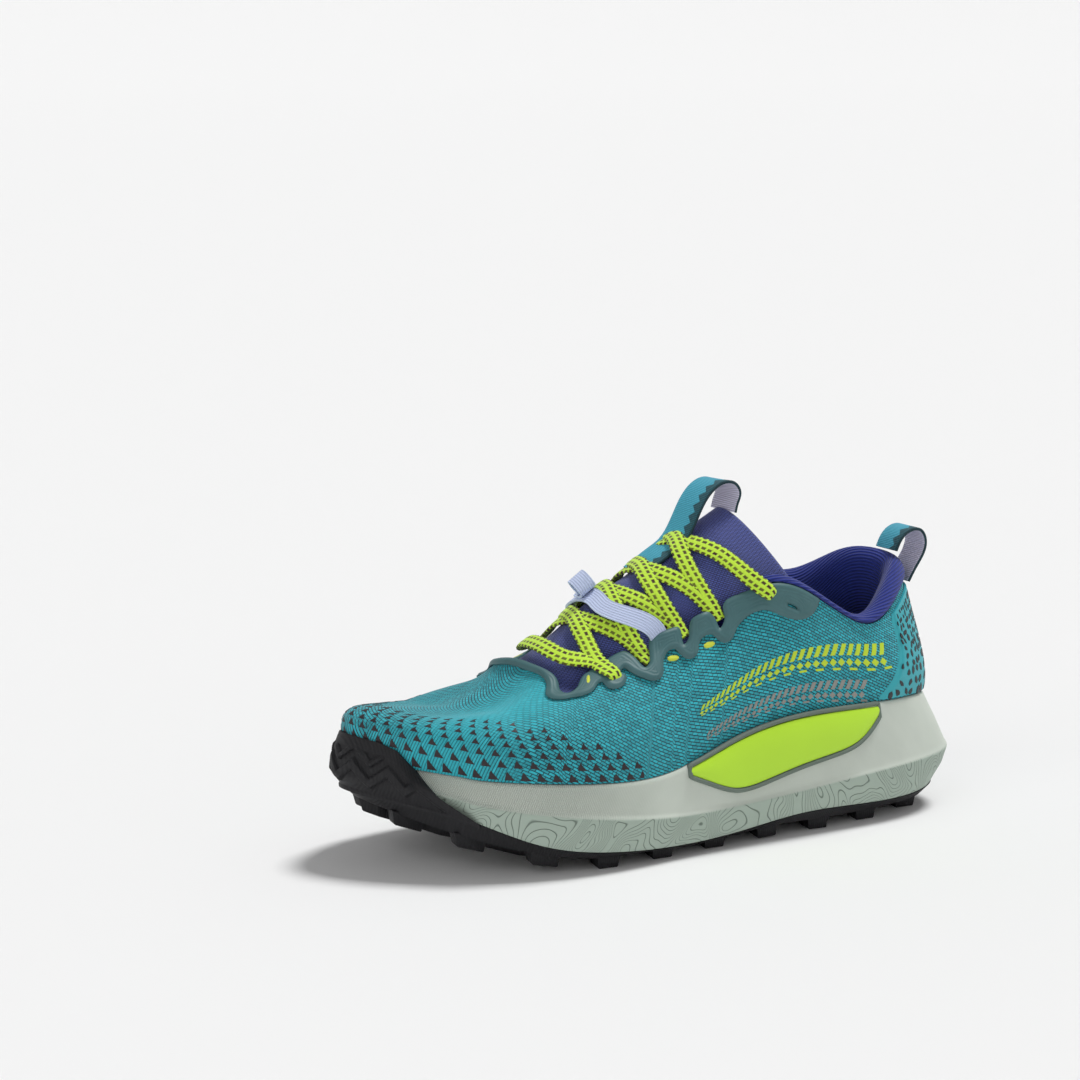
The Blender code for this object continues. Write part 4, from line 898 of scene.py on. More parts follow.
def foam_skin():
    """Midsole foam: EVA, satin, with fine ribs in front above the ridge, contour lines below it, darker
    windows in the groove on the inner side, and painted shade that darkens the band below the ridge."""
    material, tree, surface = new_material("eva_foam_sage", "#C2CAC0", 0.62)
    where = cloth_map(tree)
    level, ribbed, lined, groove = (
        add(tree, "ShaderNodeAttribute", attribute_name=tag, attribute_type="GEOMETRY").outputs["Fac"]
        for tag in ("lower", "ribbed", "lined", "groove"))
    slant = add(tree, "ShaderNodeMapping", {"Vector": where, "Rotation": (0, 0, math.radians(62))})
    micro = add(tree, "ShaderNodeTexWave", {"Vector": slant.outputs[0], "Scale": math.pi / (10 * 1.0)},
                bands_direction="Y")
    swirl = add(tree, "ShaderNodeTexNoise", {
        "Vector": where, "Scale": 0.045, "Detail": 0.6, "Distortion": 0.4})
    folded = add(tree, "ShaderNodeMath", {0: swirl.outputs["Fac"], 1: 0.022}, operation="PINGPONG")
    line = add(tree, "ShaderNodeMapRange", {
        "Value": folded.outputs[0], "From Min": 0.0, "From Max": 0.0042, "To Min": 1.0, "To Max": 0.0})
    shown = add(tree, "ShaderNodeMath", {0: level, 1: lined}, operation="MULTIPLY")
    contour = add(tree, "ShaderNodeMath", {0: line.outputs[0], 1: shown.outputs[0]}, operation="MULTIPLY")
    upper = add(tree, "ShaderNodeMath", {0: micro.outputs["Fac"], 1: ribbed}, operation="MULTIPLY")
    cloud = add(tree, "ShaderNodeTexNoise", {"Vector": where, "Scale": 0.05, "Detail": 4.0})
    base = add(tree, "ShaderNodeMix", {
        0: cloud.outputs["Fac"], 6: linear("#B9C1B7"), 7: linear("#CBD2C8")}, data_type="RGBA")
    # The band below the ridge is painted darker: painted shade for the face that turns downward.
    low = add(tree, "ShaderNodeMix", {0: level, 6: base.outputs[2], 7: linear("#A3B2A6")}, data_type="RGBA")
    sunk = add(tree, "ShaderNodeMix", {0: groove, 6: low.outputs[2], 7: linear("#6E7D73")}, data_type="RGBA")
    drawn = add(tree, "ShaderNodeMix", {
        0: contour.outputs[0], 6: sunk.outputs[2], 7: linear("#5E6C62")}, data_type="RGBA")
    shaded = add(tree, "ShaderNodeMix", {0: upper.outputs[0], 6: drawn.outputs[2], 7: linear("#9DA69C")},
                 data_type="RGBA")
    half = add(tree, "ShaderNodeMix", {0: 0.75, 6: drawn.outputs[2], 7: shaded.outputs[2]}, data_type="RGBA")
    tree.links.new(half.outputs[2], surface.inputs["Base Color"])
    cut = add(tree, "ShaderNodeMath", {0: contour.outputs[0], 1: upper.outputs[0]}, operation="ADD")
    depth = add(tree, "ShaderNodeMath", {0: 1.0, 1: cut.outputs[0]}, operation="SUBTRACT")
    relief(tree, surface, depth.outputs[0], 0.00025, 0.8)
    return material


def film_skin():
    """Thermoplastic film: matte, with faint ribs that follow its edges."""
    material, tree, surface = new_material("tpu_film_slate", "#4A6E70", 0.5, Specular_IOR_Level=0.4)
    rim = add(tree, "ShaderNodeAttribute", attribute_name="rim", attribute_type="GEOMETRY").outputs["Fac"]
    ribs = add(tree, "ShaderNodeMath", {0: rim, 1: 2 * math.pi / 1.5}, operation="MULTIPLY")
    wave = add(tree, "ShaderNodeMath", {0: ribs.outputs[0]}, operation="SINE")
    where = cloth_map(tree)
    cloud = add(tree, "ShaderNodeTexNoise", {"Vector": where, "Scale": 0.12, "Detail": 3.0})
    tint = add(tree, "ShaderNodeMix", {0: cloud.outputs["Fac"], 6: linear("#3A5F63"), 7: linear("#4A7073")},
               data_type="RGBA")
    tree.links.new(tint.outputs[2], surface.inputs["Base Color"])
    relief(tree, surface, wave.outputs[0], 0.00006, 0.6)
    return material


def rubber(name, code):
    """Outsole rubber: charcoal and matte, with fine moulded ribs across it and a slight grain."""
    material, tree, surface = new_material(name, code, 0.62, Specular_IOR_Level=0.3)
    spot = add(tree, "ShaderNodeTexCoord")
    ribs = add(tree, "ShaderNodeTexWave", {
        "Vector": spot.outputs["Object"], "Scale": math.pi / (10 * 1.1 * MM)}, bands_direction="X")
    grain = add(tree, "ShaderNodeTexNoise", {"Vector": spot.outputs["Object"], "Scale": 900.0, "Detail": 2.0})
    broad = add(tree, "ShaderNodeTexNoise", {"Vector": spot.outputs["Object"], "Scale": 30.0, "Detail": 3.0})
    tint = add(tree, "ShaderNodeMix", {0: broad.outputs["Fac"], 6: linear("#151517"), 7: linear("#232326")},
               data_type="RGBA")
    tree.links.new(tint.outputs[2], surface.inputs["Base Color"])
    first = relief(tree, surface, ribs.outputs["Fac"], 0.0002, 0.5)
    relief(tree, surface, grain.outputs["Fac"], 0.0001, 0.35, below=first)
    return material


def smooth_profile(points, passes=2):
    """Evens out the corners down each column of a surface, its ends held."""
    for _ in range(passes):
        points[:, 1:-1] = 0.25 * points[:, :-2] + 0.5 * points[:, 1:-1] + 0.25 * points[:, 2:]
    return points


def down_lines(lines, rows):
    """Even steps down through control lines, as a surface: columns, rows, 3."""
    lines = np.stack(lines, axis=1)
    chords = np.linalg.norm(np.diff(lines, axis=1), axis=2).mean(axis=0)
    where = np.concatenate([[0.0], np.cumsum(chords)]) / chords.sum()
    steps = np.linspace(0.0, 1.0, rows)
    k = np.clip(np.searchsorted(where, steps, side="right") - 1, 0, len(where) - 2)
    share = ((steps - where[k]) / (where[k + 1] - where[k]))[None, :, None]
    return lines[:, k] * (1 - share) + lines[:, k + 1] * share


def ring_of(points, steps):
    """Even steps round a closed curve through section points: columns, section, 3."""
    count = points.shape[1]
    curve = spline(np.arange(count) / count, points.transpose(1, 0, 2).reshape(count, -1), closed=True)
    return curve(np.linspace(0.0, 1.0, steps + 1)).reshape(steps + 1, len(points), 3).transpose(1, 0, 2)


def capped(points, levels=3):
    """Ends of a swept surface drawn in to their middles."""
    def cap(section):
        middle = section[:-1].mean(axis=0)
        return [middle + (section - middle) * k / levels for k in range(levels)]
    first = cap(points[0])
    last = cap(points[-1])[::-1]
    return np.concatenate([first, points, last])


def rim_depth(run):
    """How far below the throat's edge the knit ends, so that the film's openings stay clear."""
    inner = np.abs(run) / MM
    wide = [np.interp(inner + aside, FILM_INNER[:, 0], FILM_INNER[:, 1]) for aside in (-2, -1, 0, 1, 2)]
    cut = np.max(wide, axis=0) * MM + 0.0022
    return np.where(inner > FILM_INNER[-1, 0], 0.0, cut)


# Where the knit's dark ground fades on the outer side of the vamp, and how far: along, across
BRIGHT_PLACE = (0.088, 0.024)
BRIGHT_REACH = (0.040, 0.017)


def make_upper(knit, lining):
    columns = 520
    outer_rows = 60
    inner_rows = 22
    around = np.linspace(0.0, 1.0, columns + 1)
    run = np.interp(-around, -EDGE_PLACE, EDGE_RUN)
    run = np.where(run < 0, run / INNER_SCALE, run)
    throat = throat_share(around)
    front = front_share(around)
    plain = SETBACK * throat * (1 - front) + 0.25 * FRONT_BAND * front
    depth = np.maximum(plain, rim_depth(run) * throat)
    top = share_below(around, np.maximum(depth, 1e-5))
    shares = list(np.linspace(0.0, 1.0, outer_rows)) + list(np.linspace(1.0, 0.0, inner_rows)) + [0.0]
    offsets = [0.0] * outer_rows + [-WALL] * inner_rows + [0.0]
    points = np.empty((columns + 1, len(shares), 3))
    for j, (share, offset) in enumerate(zip(shares, offsets)):
        at = top * share
        points[:, j] = shell_at(around, at, offset - creases(around, at) * (offset == 0.0))
    points[-1] = points[0]
    away = (points[..., :2] - BRIGHT_PLACE) / BRIGHT_REACH
    bright = np.exp(-np.sum(away ** 2, axis=-1) ** 1.3)
    toe = smooth((points[..., 0] - 0.082) / 0.02) * (1 - smooth((points[..., 2] - 0.060) / 0.010))
    tags = {"dark": 1 - 0.78 * bright, "toe": toe}
    bands = [0] * outer_rows + [1] * inner_rows
    thing = bent_grid("upper_knit", points, tags=tags, bands=bands)
    close_up(thing)
    return fit_out(thing, [knit, lining], "turquoise_knit", ["upper"])


def creases(around, share):
    """Soft troughs: two flex lines across the vamp and a slack one in the quarter."""
    spot = shell(around, share)
    x, y = spot[:, 0], spot[:, 1]
    depth = 0.0006 * np.exp(-((x - 0.094 + 0.25 * y) / 0.006) ** 2)
    depth += 0.0005 * np.exp(-((x - 0.078 - 0.20 * y) / 0.007) ** 2)
    depth += 0.0008 * np.exp(-((x + 0.060 + 0.35 * spot[:, 2]) / 0.010) ** 2) * smooth(share * 2) * (y > 0)
    depth += 0.0007 * np.exp(-((x + 0.010 - 0.30 * spot[:, 2]) / 0.012) ** 2) * smooth(share * 2) * (y > 0)
    return depth * smooth(share * 8) * smooth((0.98 - share) * 8)


def film_outline():
    """The film's whole outline in metres along and below the throat's edge."""
    outer = along_curve(FILM_OUTER, 420) * MM
    inner = along_curve(FILM_INNER, 420) * MM
    inner[:, 1] = np.maximum(inner[:, 1], 0.1 * MM)
    side = np.vstack([outer, inner[::-1]])
    other = side[::-1] * (-1, 1)
    return np.vstack([side, other[1:-1]])


def to_outline(points, outline):
    """Distance inside a closed outline, negative outside, and the nearest point on it."""
    start = outline
    end = np.roll(outline, -1, axis=0)
    step = end - start
    size = np.maximum(np.sum(step * step, axis=1), 1e-18)
    best = np.full(len(points), np.inf)
    near = np.zeros_like(points)
    inside = np.zeros(len(points), bool)
    for k in range(len(start)):
        share = np.clip(((points - start[k]) @ step[k]) / size[k], 0.0, 1.0)
        foot = start[k] + share[:, None] * step[k]
        gap = np.sum((points - foot) ** 2, axis=1)
        closer = gap < best
        best[closer] = gap[closer]
        near[closer] = foot[closer]
        crosses = (start[k, 1] > points[:, 1]) != (end[k, 1] > points[:, 1])
        if crosses.any():
            x = start[k, 0] + (points[crosses, 1] - start[k, 1]) / (end[k, 1] - start[k, 1]) * step[k, 0]
            inside[crosses] ^= points[crosses, 0] < x
    return np.sqrt(best) * np.where(inside, 1, -1), near


def slot_distance(points, centre, half, radius, turn):
    """Distance outside a short slot, for cutting it from the film."""
    aside = points - centre
    way = np.array([math.cos(turn), math.sin(turn)])
    along = np.clip(aside @ way, -half, half)
    foot = centre + along[:, None] * way
    gap = points - foot
    size = np.linalg.norm(gap, axis=1)
    return size - radius, foot + gap / np.maximum(size, 1e-9)[:, None] * radius


def film_height(run, depth, inside):
    """Height of the film's face over the upper: thin at its rim, raised where it bridges webbing."""
    height = 0.0005 + (EYESTAY + CLEARANCE - 0.0005) * smooth(inside / 0.0013)
    for centre, half in BRIDGES:
        across = smooth(1 - np.abs(np.abs(run) / MM - centre) / (half + 1.5))
        height += 0.0016 * across * smooth(1 - depth / 0.0095)
    return height


def make_film(skin):
    """The film is a grid cut along its outline: cells outside go, and the rim is drawn onto it."""
    outline = film_outline()
    reach = outline[:, 0].max()
    columns = 740
    rows = 54
    run = np.linspace(-reach - 0.0005, reach + 0.0005, columns + 1)
    depth = np.linspace(0.0, 0.0236, rows + 1)
    plan = np.stack(np.meshgrid(run, depth, indexing="ij"), axis=-1).reshape(-1, 2)
    inside, near = to_outline(plan, outline)
    for side in (1, -1):
        gap, foot = slot_distance(plan, np.array([side * FILM_SLOT[0], FILM_SLOT[1]]) * MM, 0.0017, 0.0008,
                                  side * 0.15)
        cut = (gap < inside) & (inside > 0)
        near[cut] = foot[cut]
        inside = np.where(inside > 0, np.minimum(inside, gap), inside)
    outside = inside < 0
    grid_out = outside.reshape(columns + 1, rows + 1)
    cell_in = ~(grid_out[:-1, :-1] & grid_out[1:, :-1] & grid_out[:-1, 1:] & grid_out[1:, 1:])
    used = np.zeros_like(grid_out)
    for a in (0, 1):
        for b in (0, 1):
            used[a:columns + a, b:rows + b] |= cell_in
    moved = np.where(outside[:, None], near, plan)
    around = place_at(moved[:, 0])
    share = np.ones(len(plan))
    pick = used.ravel()
    share[pick] = share_below(around[pick], moved[pick, 1])
    height = film_height(moved[:, 0], moved[:, 1], np.maximum(inside, 0.0))
    points = np.zeros((len(plan), 3))
    points[pick] = shell_at(around[pick], share[pick], height[pick])
    grid = points.reshape(columns + 1, rows + 1, 3)
    flat = moved.reshape(columns + 1, rows + 1, 2)
    tags = {"rim": (inside / MM).reshape(columns + 1, rows + 1)}
    thing = bent_grid("eyestay_film", grid, cloth=flat, tags=tags)
    drop_cells(thing, columns, cell_in)
    only(thing)
    thick = thing.modifiers.new("thickness", "SOLIDIFY")
    thick.thickness = 0.0006
    thick.offset = -1.0
    bpy.ops.object.modifier_apply(modifier=thick.name)
    return fit_out(thing, [skin], "slate_film", ["eyestay"])


def drop_cells(thing, columns, keep):
    """Deletes the faces of a bent grid that lie outside its outline."""
    mesh = thing.data
    corner = np.empty(len(mesh.loops), np.int32)
    mesh.loops.foreach_get("vertex_index", corner)
    lowest = corner.reshape(-1, 4).min(axis=1)
    i = lowest % (columns + 1)
    j = lowest // (columns + 1)
    mesh.polygons.foreach_set("select", ~keep[i, j])
    only(thing)
    mesh.vertices.foreach_set("select", np.zeros(len(mesh.vertices), bool))
    mesh.edges.foreach_set("select", np.zeros(len(mesh.edges), bool))
    bpy.ops.object.mode_set(mode="EDIT")
    bpy.ops.mesh.select_mode(type="FACE")
    bpy.ops.mesh.delete(type="FACE")
    bpy.ops.mesh.select_mode(type="VERT")
    bpy.ops.object.mode_set(mode="OBJECT")
    mesh.update()


def from_faces(name, points, faces):
    """A piece from its corners and faces, for what repeats many times."""
    mesh = bpy.data.meshes.new(name)
    mesh.from_pydata((points - SHIFT).tolist(), [], faces)
    thing = bpy.data.objects.new(name, mesh)
    bpy.context.scene.collection.objects.link(thing)
    return thing


def patches(name, outlines, lay, height, material, slot=None, sink=0.0003, sharp=30):
    """Raised flat shapes on a surface: outlines are in metres along it, lay turns them into points."""
    flat = []
    faces = []
    for outline in outlines:
        outline = np.asarray(outline, float)
        middle = outline.mean(axis=0)
        ring_in = middle + (outline - middle) * 0.5
        start = len(flat)
        count = len(outline)
        flat += [(*p, height) for p in outline] + [(*p, height) for p in ring_in]
        flat += [(*middle, height)] + [(*p, -sink) for p in outline]
        for k in range(count):
            n = (k + 1) % count
            faces.append((start + k, start + n, start + count + n, start + count + k))
            faces.append((start + count + k, start + count + n, start + 2 * count))
            faces.append((start + 2 * count + 1 + k, start + 2 * count + 1 + n, start + n, start + k))
        faces.append(tuple(start + 2 * count + 1 + k for k in range(count))[::-1])
    flat = np.array(flat)
    thing = from_faces(name, lay(flat[:, 0], flat[:, 1], flat[:, 2]), faces)
    mesh = thing.data
    uv = mesh.uv_layers.new(name="cloth")
    corner = np.empty(len(mesh.loops), np.int32)
    mesh.loops.foreach_get("vertex_index", corner)
    uv.data.foreach_set("uv", flat[corner][:, :2].astype(np.float32).ravel())
    close_up(thing)
    return fit_out(thing, [material], slot, sharp=sharp)


def threads(name, paths, radius, material, slot=None, sides=6, squash=0.6):
    """Short raised threads: one closed tube along each path of points and outward directions."""
    verts = []
    faces = []
    for points, out in paths:
        points = np.asarray(points)
        way = unit(np.gradient(points, axis=0))
        out = unit(out - way * np.sum(out * way, axis=1)[:, None])
        side = np.cross(way, out)
        count = len(points)
        start = len(verts)
        for k in range(count):
            taper = radius * (0.35 if k in (0, count - 1) else 1.0)
            for s in range(sides):
                turn = 2 * math.pi * s / sides
                aside = side[k] * math.cos(turn) + out[k] * squash * math.sin(turn)
                verts.append(points[k] + aside * taper)
        for k in range(count - 1):
            for s in range(sides):
                n = (s + 1) % sides
                a = start + k * sides
                faces.append((a + s, a + n, a + sides + n, a + sides + s))
        faces.append(tuple(start + s for s in range(sides)))
        faces.append(tuple(start + (count - 1) * sides + s for s in range(sides))[::-1])
    thing = close_up(from_faces(name, np.array(verts), faces))
    return fit_out(thing, [material], slot, sharp=60)


# The flecks are laid out flat: metres of wall per turn round the rim, and from its foot to its top
FLECK_ROUND = 0.72
FLECK_UP = 0.058
FLECK_SIZE = 0.0074


def make_heel_counter(skin, fleck):
    columns = 150
    rows = 46
    share = np.linspace(0.02, 0.945, rows + 1)
    points = np.empty((columns + 1, 2 * rows + 3, 3))
    for j in range(2 * rows + 3):
        back = j > rows and j <= 2 * rows + 1
        k = j if j <= rows else 2 * rows + 1 - j
        level = share[k if j < 2 * rows + 2 else 0]
        reach = COUNTER_TOP + (COUNTER_FOOT - COUNTER_TOP) * (1 - level) ** 2
        around = np.linspace(side_place(reach * LENGTH, True) - 1.0, side_place(reach * LENGTH), columns + 1)
        inset = np.minimum(np.minimum(np.arange(columns + 1), np.arange(columns + 1)[::-1]), 4) / 4
        height = 0.0003 if back else 0.0004 + 0.0009 * smooth(inset)
        points[:, j] = shell_at(around % 1.0, np.full(columns + 1, level), height * np.ones(columns + 1))
    thing = close_up(bent_grid("heel_counter_film", capped(points, 2)))
    fit_out(thing, [skin], "heel_print", ["heel_counter"])
    dice = np.random.default_rng(7)
    outlines = []
    level = 0.07
    while level < 0.90:
        size = FLECK_SIZE * (1 - 0.62 * level)
        reach = COUNTER_TOP + (COUNTER_FOOT - COUNTER_TOP) * (1 - level) ** 2
        outer = side_place(reach * LENGTH)
        inner = side_place(reach * LENGTH, True) - 1.0
        count = max(int((outer - inner) * FLECK_ROUND / (size * 0.85)), 6)
        for n in range(count):
            around = inner + (outer - inner) * (n + 0.5 + dice.uniform(-0.38, 0.38)) / count
            if not 0.97 * inner < around < 0.97 * outer:
                continue
            turn = math.radians(90 + 30 * math.sin(around * 40) + dice.uniform(-32, 32))
            drop = size * dice.uniform(-0.16, 0.16)
            long = size * dice.uniform(0.34, 0.52)
            wide = size * dice.uniform(0.16, 0.28)
            shape = []
            for a, b in ((-1, 0.1), (-0.4, 0.9), (0.35, 1.0), (1.0, 0.2), (0.45, -0.8), (-0.5, -1.0)):
                a = a * long * dice.uniform(0.8, 1.15)
                b = b * wide * dice.uniform(0.7, 1.25)
                shape.append((around * FLECK_ROUND + a * math.cos(turn) - b * math.sin(turn),
                              level * FLECK_UP + drop + a * math.sin(turn) + b * math.cos(turn)))
            outlines.append(shape)
        level += size * 0.92 / FLECK_UP

    def lay(s, h, offset):
        level = np.clip(h / FLECK_UP, 0.0, 0.99)
        return shell_at((s / FLECK_ROUND) % 1.0, level, offset + 0.0013)

    return patches("heel_flecks", outlines, lay, 0.00018, fleck, "heel_print", sink=0.0002)


def make_collar(cloth):
    start = edge_place(COLLAR_FRONT * LENGTH, inner=True) - 1.0
    end = edge_place(COLLAR_FRONT * LENGTH)
    around = np.linspace(start, end, 300)
    places = around % 1.0
    back = 1 - smooth((np.abs(around) - 0.045) / 0.085)
    ends = 1 - smooth(np.abs((around - start) / (end - start) * 2 - 1) * 2.2 - 1.2)
    roll = COLLAR_ROLL * (0.36 + 0.64 * back)
    pad = COLLAR_PAD * (0.30 + 0.70 * ends)
    inside = WALL + 2 * CLEARANCE
    level = unit(shell_normal(places, 1.0) * (1, 1, 0))
    up = np.array([0.0, 0.0, 1.0])
    fixed = np.ones(len(places))

    def hung(rows, offset):
        return shell_at(places, fixed * (UP_WALL - rows) / UP_WALL, -offset)

    def rolled(height, offset):
        rim = shell_at(places, fixed, -np.minimum(offset, inside))
        past = np.maximum(offset - inside, 0.0)
        return rim + up * (height + CLEARANCE)[:, None] - level * past[:, None]

    def over(height, offset):
        return shell_at(places, fixed, offset) + up * height[:, None]

    lines = [hung(row, inside * fixed) for row in (COLLAR_ROWS, 3, 2, 1)]
    lines += [
        rolled(0.02 * roll, 0.5 * inside * fixed),
        over(0.0001 + 0.12 * roll, 0.0007 * fixed),
        over(0.45 * roll, 0.0010 * fixed),
        rolled(0.82 * roll, 0.14 * pad),
        rolled(roll, 0.5 * pad),
        rolled(0.80 * roll, 0.86 * pad),
        rolled(0.2 * roll, pad + 0.4 * inside),
        hung(1, inside + pad),
        hung(0.55 * COLLAR_ROWS, inside + 0.9 * pad),
        hung(0.8 * COLLAR_ROWS, inside + 0.5 * pad),
        hung(COLLAR_ROWS, inside + 0.0015 * fixed),
    ]
    points = ring_of(np.stack(lines, axis=1), 84)
    thing = close_up(bent_grid("collar_lining_padded", capped(points)))
    fit_out(thing, [cloth], "royal_blue_knit", ["collar_lining"], sharp=75)
    return thing


def make_tongue(cloth):
    turns = np.radians(np.linspace(72, -72, 13))
    stations = np.linspace(TONGUE_LINE[0, 0], TONGUE_LINE[-1, 0], 21) * LENGTH
    sections = []
    for x in stations:
        high = pressed_under([tongue_point(x, turn) for turn in turns], WALL + TONGUE_GAP)
        low = []
        for turn, point in zip(turns, high):
            thick = TONGUE * (0.35 + 0.65 * math.cos(turn * 1.15))
            inward = np.array([-INSTEP_LEAN * math.cos(turn), -math.sin(turn), -math.cos(turn)])
            low.append(point + unit(inward) * thick)
        sections.append(high + low[::-1])
    sections = np.array(sections)
    through = spline(np.linspace(0, 1, 21), sections.reshape(21, -1))
    lines = through(np.linspace(0, 1, 150)).reshape(150, 26, 3)
    rounded = []
    for end, beside in ((lines[0], lines[1]), (lines[-1], lines[-2])):
        middle = 0.5 * (end + end[::-1])
        way = unit((end - beside).mean(axis=0))
        rounded.append([end * share + middle * (1 - share) + way * reach
                        for share, reach in ((0.85, 0.0007), (0.5, 0.0014), (0.0, 0.0018))])
    lines = np.concatenate([rounded[0][::-1], lines, rounded[1]])
    points = ring_of(lines, 120)
    thing = close_up(bent_grid("tongue_padded", points))
    fit_out(thing, [cloth], "navy_knit", ["tongue"], sharp=75)
    return thing


def strip(name, path, across, width, thick, materials, slot, nodes=()):
    """Webbing or elastic along a path. Its materials: the face on the normal's side, the other, the edges."""
    path = np.asarray(path)
    way = unit(np.gradient(path, axis=0))
    across = unit(np.asarray(across, float) * np.ones_like(path))
    across = unit(across - way * np.sum(across * way, axis=1)[:, None])
    normal = np.cross(way, across)
    half = width / 2
    faces = 12
    flat = np.linspace(-1, 1, faces + 1)
    section = [(a, 0.5) for a in flat * 0.955] + [(0.99, 0.25), (0.99, -0.25)]
    section += [(a, -0.5) for a in -flat * 0.955] + [(-0.99, -0.25), (-0.99, 0.25)]
    section.append(section[0])
    bands = [0] * faces + [2] * 3 + [1] * faces + [2] * 3
    a = np.array([s[0] for s in section])
    b = np.array([s[1] for s in section])
    points = (path[:, None] + across[:, None] * (a * half)[None, :, None]
              + normal[:, None] * (b * thick)[None, :, None])
    run = run_along(path)
    cloth = np.stack(np.broadcast_arrays(run[:, None], (a * half)[None, :]), axis=2)
    ends = 2
    grid = capped(points, ends)
    cloth = np.concatenate([cloth[:1]] * ends + [cloth] + [cloth[-1:]] * ends)
    thing = close_up(bent_grid(name, grid, cloth=cloth, bands=bands))
    return fit_out(thing, materials, slot, nodes, sharp=50)


# The webbing's foot is sewn flat on the tongue, and the laces cross over it
LOOP_OVER_TONGUE = 0.0003


def tongue_loop_path(count):
    tip = TONGUE_LINE[-1, 0] * LENGTH
    top = tongue_point(tip, 0.0)
    lift = LOOP_THICK / 2 + LOOP_OVER_TONGUE
    points = [tongue_point(tip + TONGUE_LOOP_FOOT * share, 0.0, lift) for share in (1.0, 0.86, 0.72, 0.58)]
    points += [top + (forward, 0, up) for forward, up in TONGUE_LOOP * TONGUE_LOOP_SIZE]
    behind = np.array([-1.0, 0.0, INSTEP_LEAN]) / math.hypot(1.0, INSTEP_LEAN)
    down = np.array([-INSTEP_LEAN, 0.0, -1.0]) / math.hypot(1.0, INSTEP_LEAN)
    points.append(top + behind * (CLEARANCE + LOOP_THICK / 2) + down * 0.45 * TONGUE)
    return along_curve(points, count)


def heel_loop_path(count):
    place = np.array([0.0])
    edge = shell(place, 1.0)[0]
    top = edge + np.array([0.5 * COLLAR_PAD, 0.0, COLLAR_ROLL + 2 * CLEARANCE + LOOP_THICK / 2])
    low = shell_at(place, np.array([0.94]), np.array([COUNTER + 3 * CLEARANCE + LOOP_THICK / 2]))[0]
    points = [top + step for step in HEEL_LOOP * HEEL_LOOP_SIZE]
    points += [low + (-0.3 * HEEL_LOOP_SIZE, 0, 0.5 * HEEL_LOOP_SIZE), low]
    return along_curve(points, count)


def lace_tip(name, inner):
    side = -1 if inner else 1
    points = []
    for run, depth, height in np.array(LACE_TIPS[name]) * MM:
        around = place_at(np.array([side * run]))
        share = share_below(around, np.array([max(depth, 1e-5)]))
        point = shell_at(around, share, np.array([height]))[0]
        points.append(np.concatenate([point, shell_normal(around, share)[0]]))
    return points


def lace_path(outer_end, inner_end, lift):
    """A lace run over the tongue, from one end on the outer side to one on the inner side."""
    tips = [lace_tip(outer_end, False), lace_tip(inner_end, True)]
    ends = [ridge_station(tip[-1][:3]) for tip in tips]
    bow = FRONT_BAR_BOW if outer_end == inner_end == "front" else 0.0
    middle = []
    for share in (0.2, 0.35, 0.5, 0.65, 0.8):
        x = ends[0] + (ends[1] - ends[0]) * share + bow * math.sin(math.pi * share)
        turn = LACE_SWING * math.cos(math.pi * share)
        rise = (lift + (FRONT_BAR_RISE if bow else 0.0)) * math.sin(math.pi * share) ** 2
        point = tongue_point(x, turn, 3 * CLEARANCE + LACE_THICK / 2 + rise)
        middle.append(np.concatenate([point, tongue_facing(x, turn)]))
    return along_curve(tips[0] + middle + tips[1][::-1], 150)


def make_laces(braid):
    """Flat-oval lace runs with a braid's slightly beaded edges, narrower where they enter the film."""
    for number, (outer, inner) in enumerate(LACE_RUNS):
        path = lace_path(outer, inner, LACE_OVER * (number % 2))
        points = path[:, :3]
        way = unit(np.gradient(points, axis=0))
        normal = unit(path[:, 3:] - way * np.sum(path[:, 3:] * way, axis=1)[:, None])
        side = np.cross(way, normal)
        run = run_along(points)
        turn = np.linspace(0, 2 * math.pi, 21)
        across = np.sign(np.cos(turn)) * np.abs(np.cos(turn)) ** 0.75
        rise = np.sign(np.sin(turn)) * np.abs(np.sin(turn)) ** 0.8
        beads = 1 + 0.045 * np.sin(2 * math.pi * run / LACE_BEAT)
        ends = np.minimum(run, run[-1] - run)
        full = 1.0 + LACE_SWELL * smooth(ends / LACE_END)
        half = (LACE_WIDTH / 2 * beads * full)[:, None]
        grid = (points[:, None] + side[:, None] * (half * across)[..., None]
                + normal[:, None] * (rise * LACE_THICK / 2)[None, :, None])
        wide = LACE_WIDTH / 2 * np.cos(turn)
        along = run[:, None] + 0.35 * wide[None, :]
        spread = np.stack(np.broadcast_arrays(along, wide[None, :] + 0.00001), axis=2)
        spread = np.concatenate([spread[:1]] * 2 + [spread] + [spread[-1:]] * 2)
        thing = close_up(bent_grid("lace_%d" % (number + 1), capped(grid, 2), cloth=spread))
        fit_out(thing, [braid], "neon_lace", ["laces"] if number == 0 else (), sharp=80)


# The strap's width between its rolled edges
KEEPER_SHOWN = 0.0088
# Its end under the film: along the throat's edge, below it, and off the upper's face
KEEPER_TUCK = ((0.0815, 0.0062, -0.0012), (0.0810, 0.0034, -0.0002), (0.0800, 0.0008, 0.0026))
# Its folded tab: steps along the strap and off it
KEEPER_TAB = ((0.010, 0.0), (0.004, 0.0003), (0.0005, 0.0022), (0.0002, 0.0060), (0.0016, 0.0088),
              (0.0034, 0.0090), (0.0044, 0.0062), (0.0040, 0.0022), (0.0066, 0.0014))


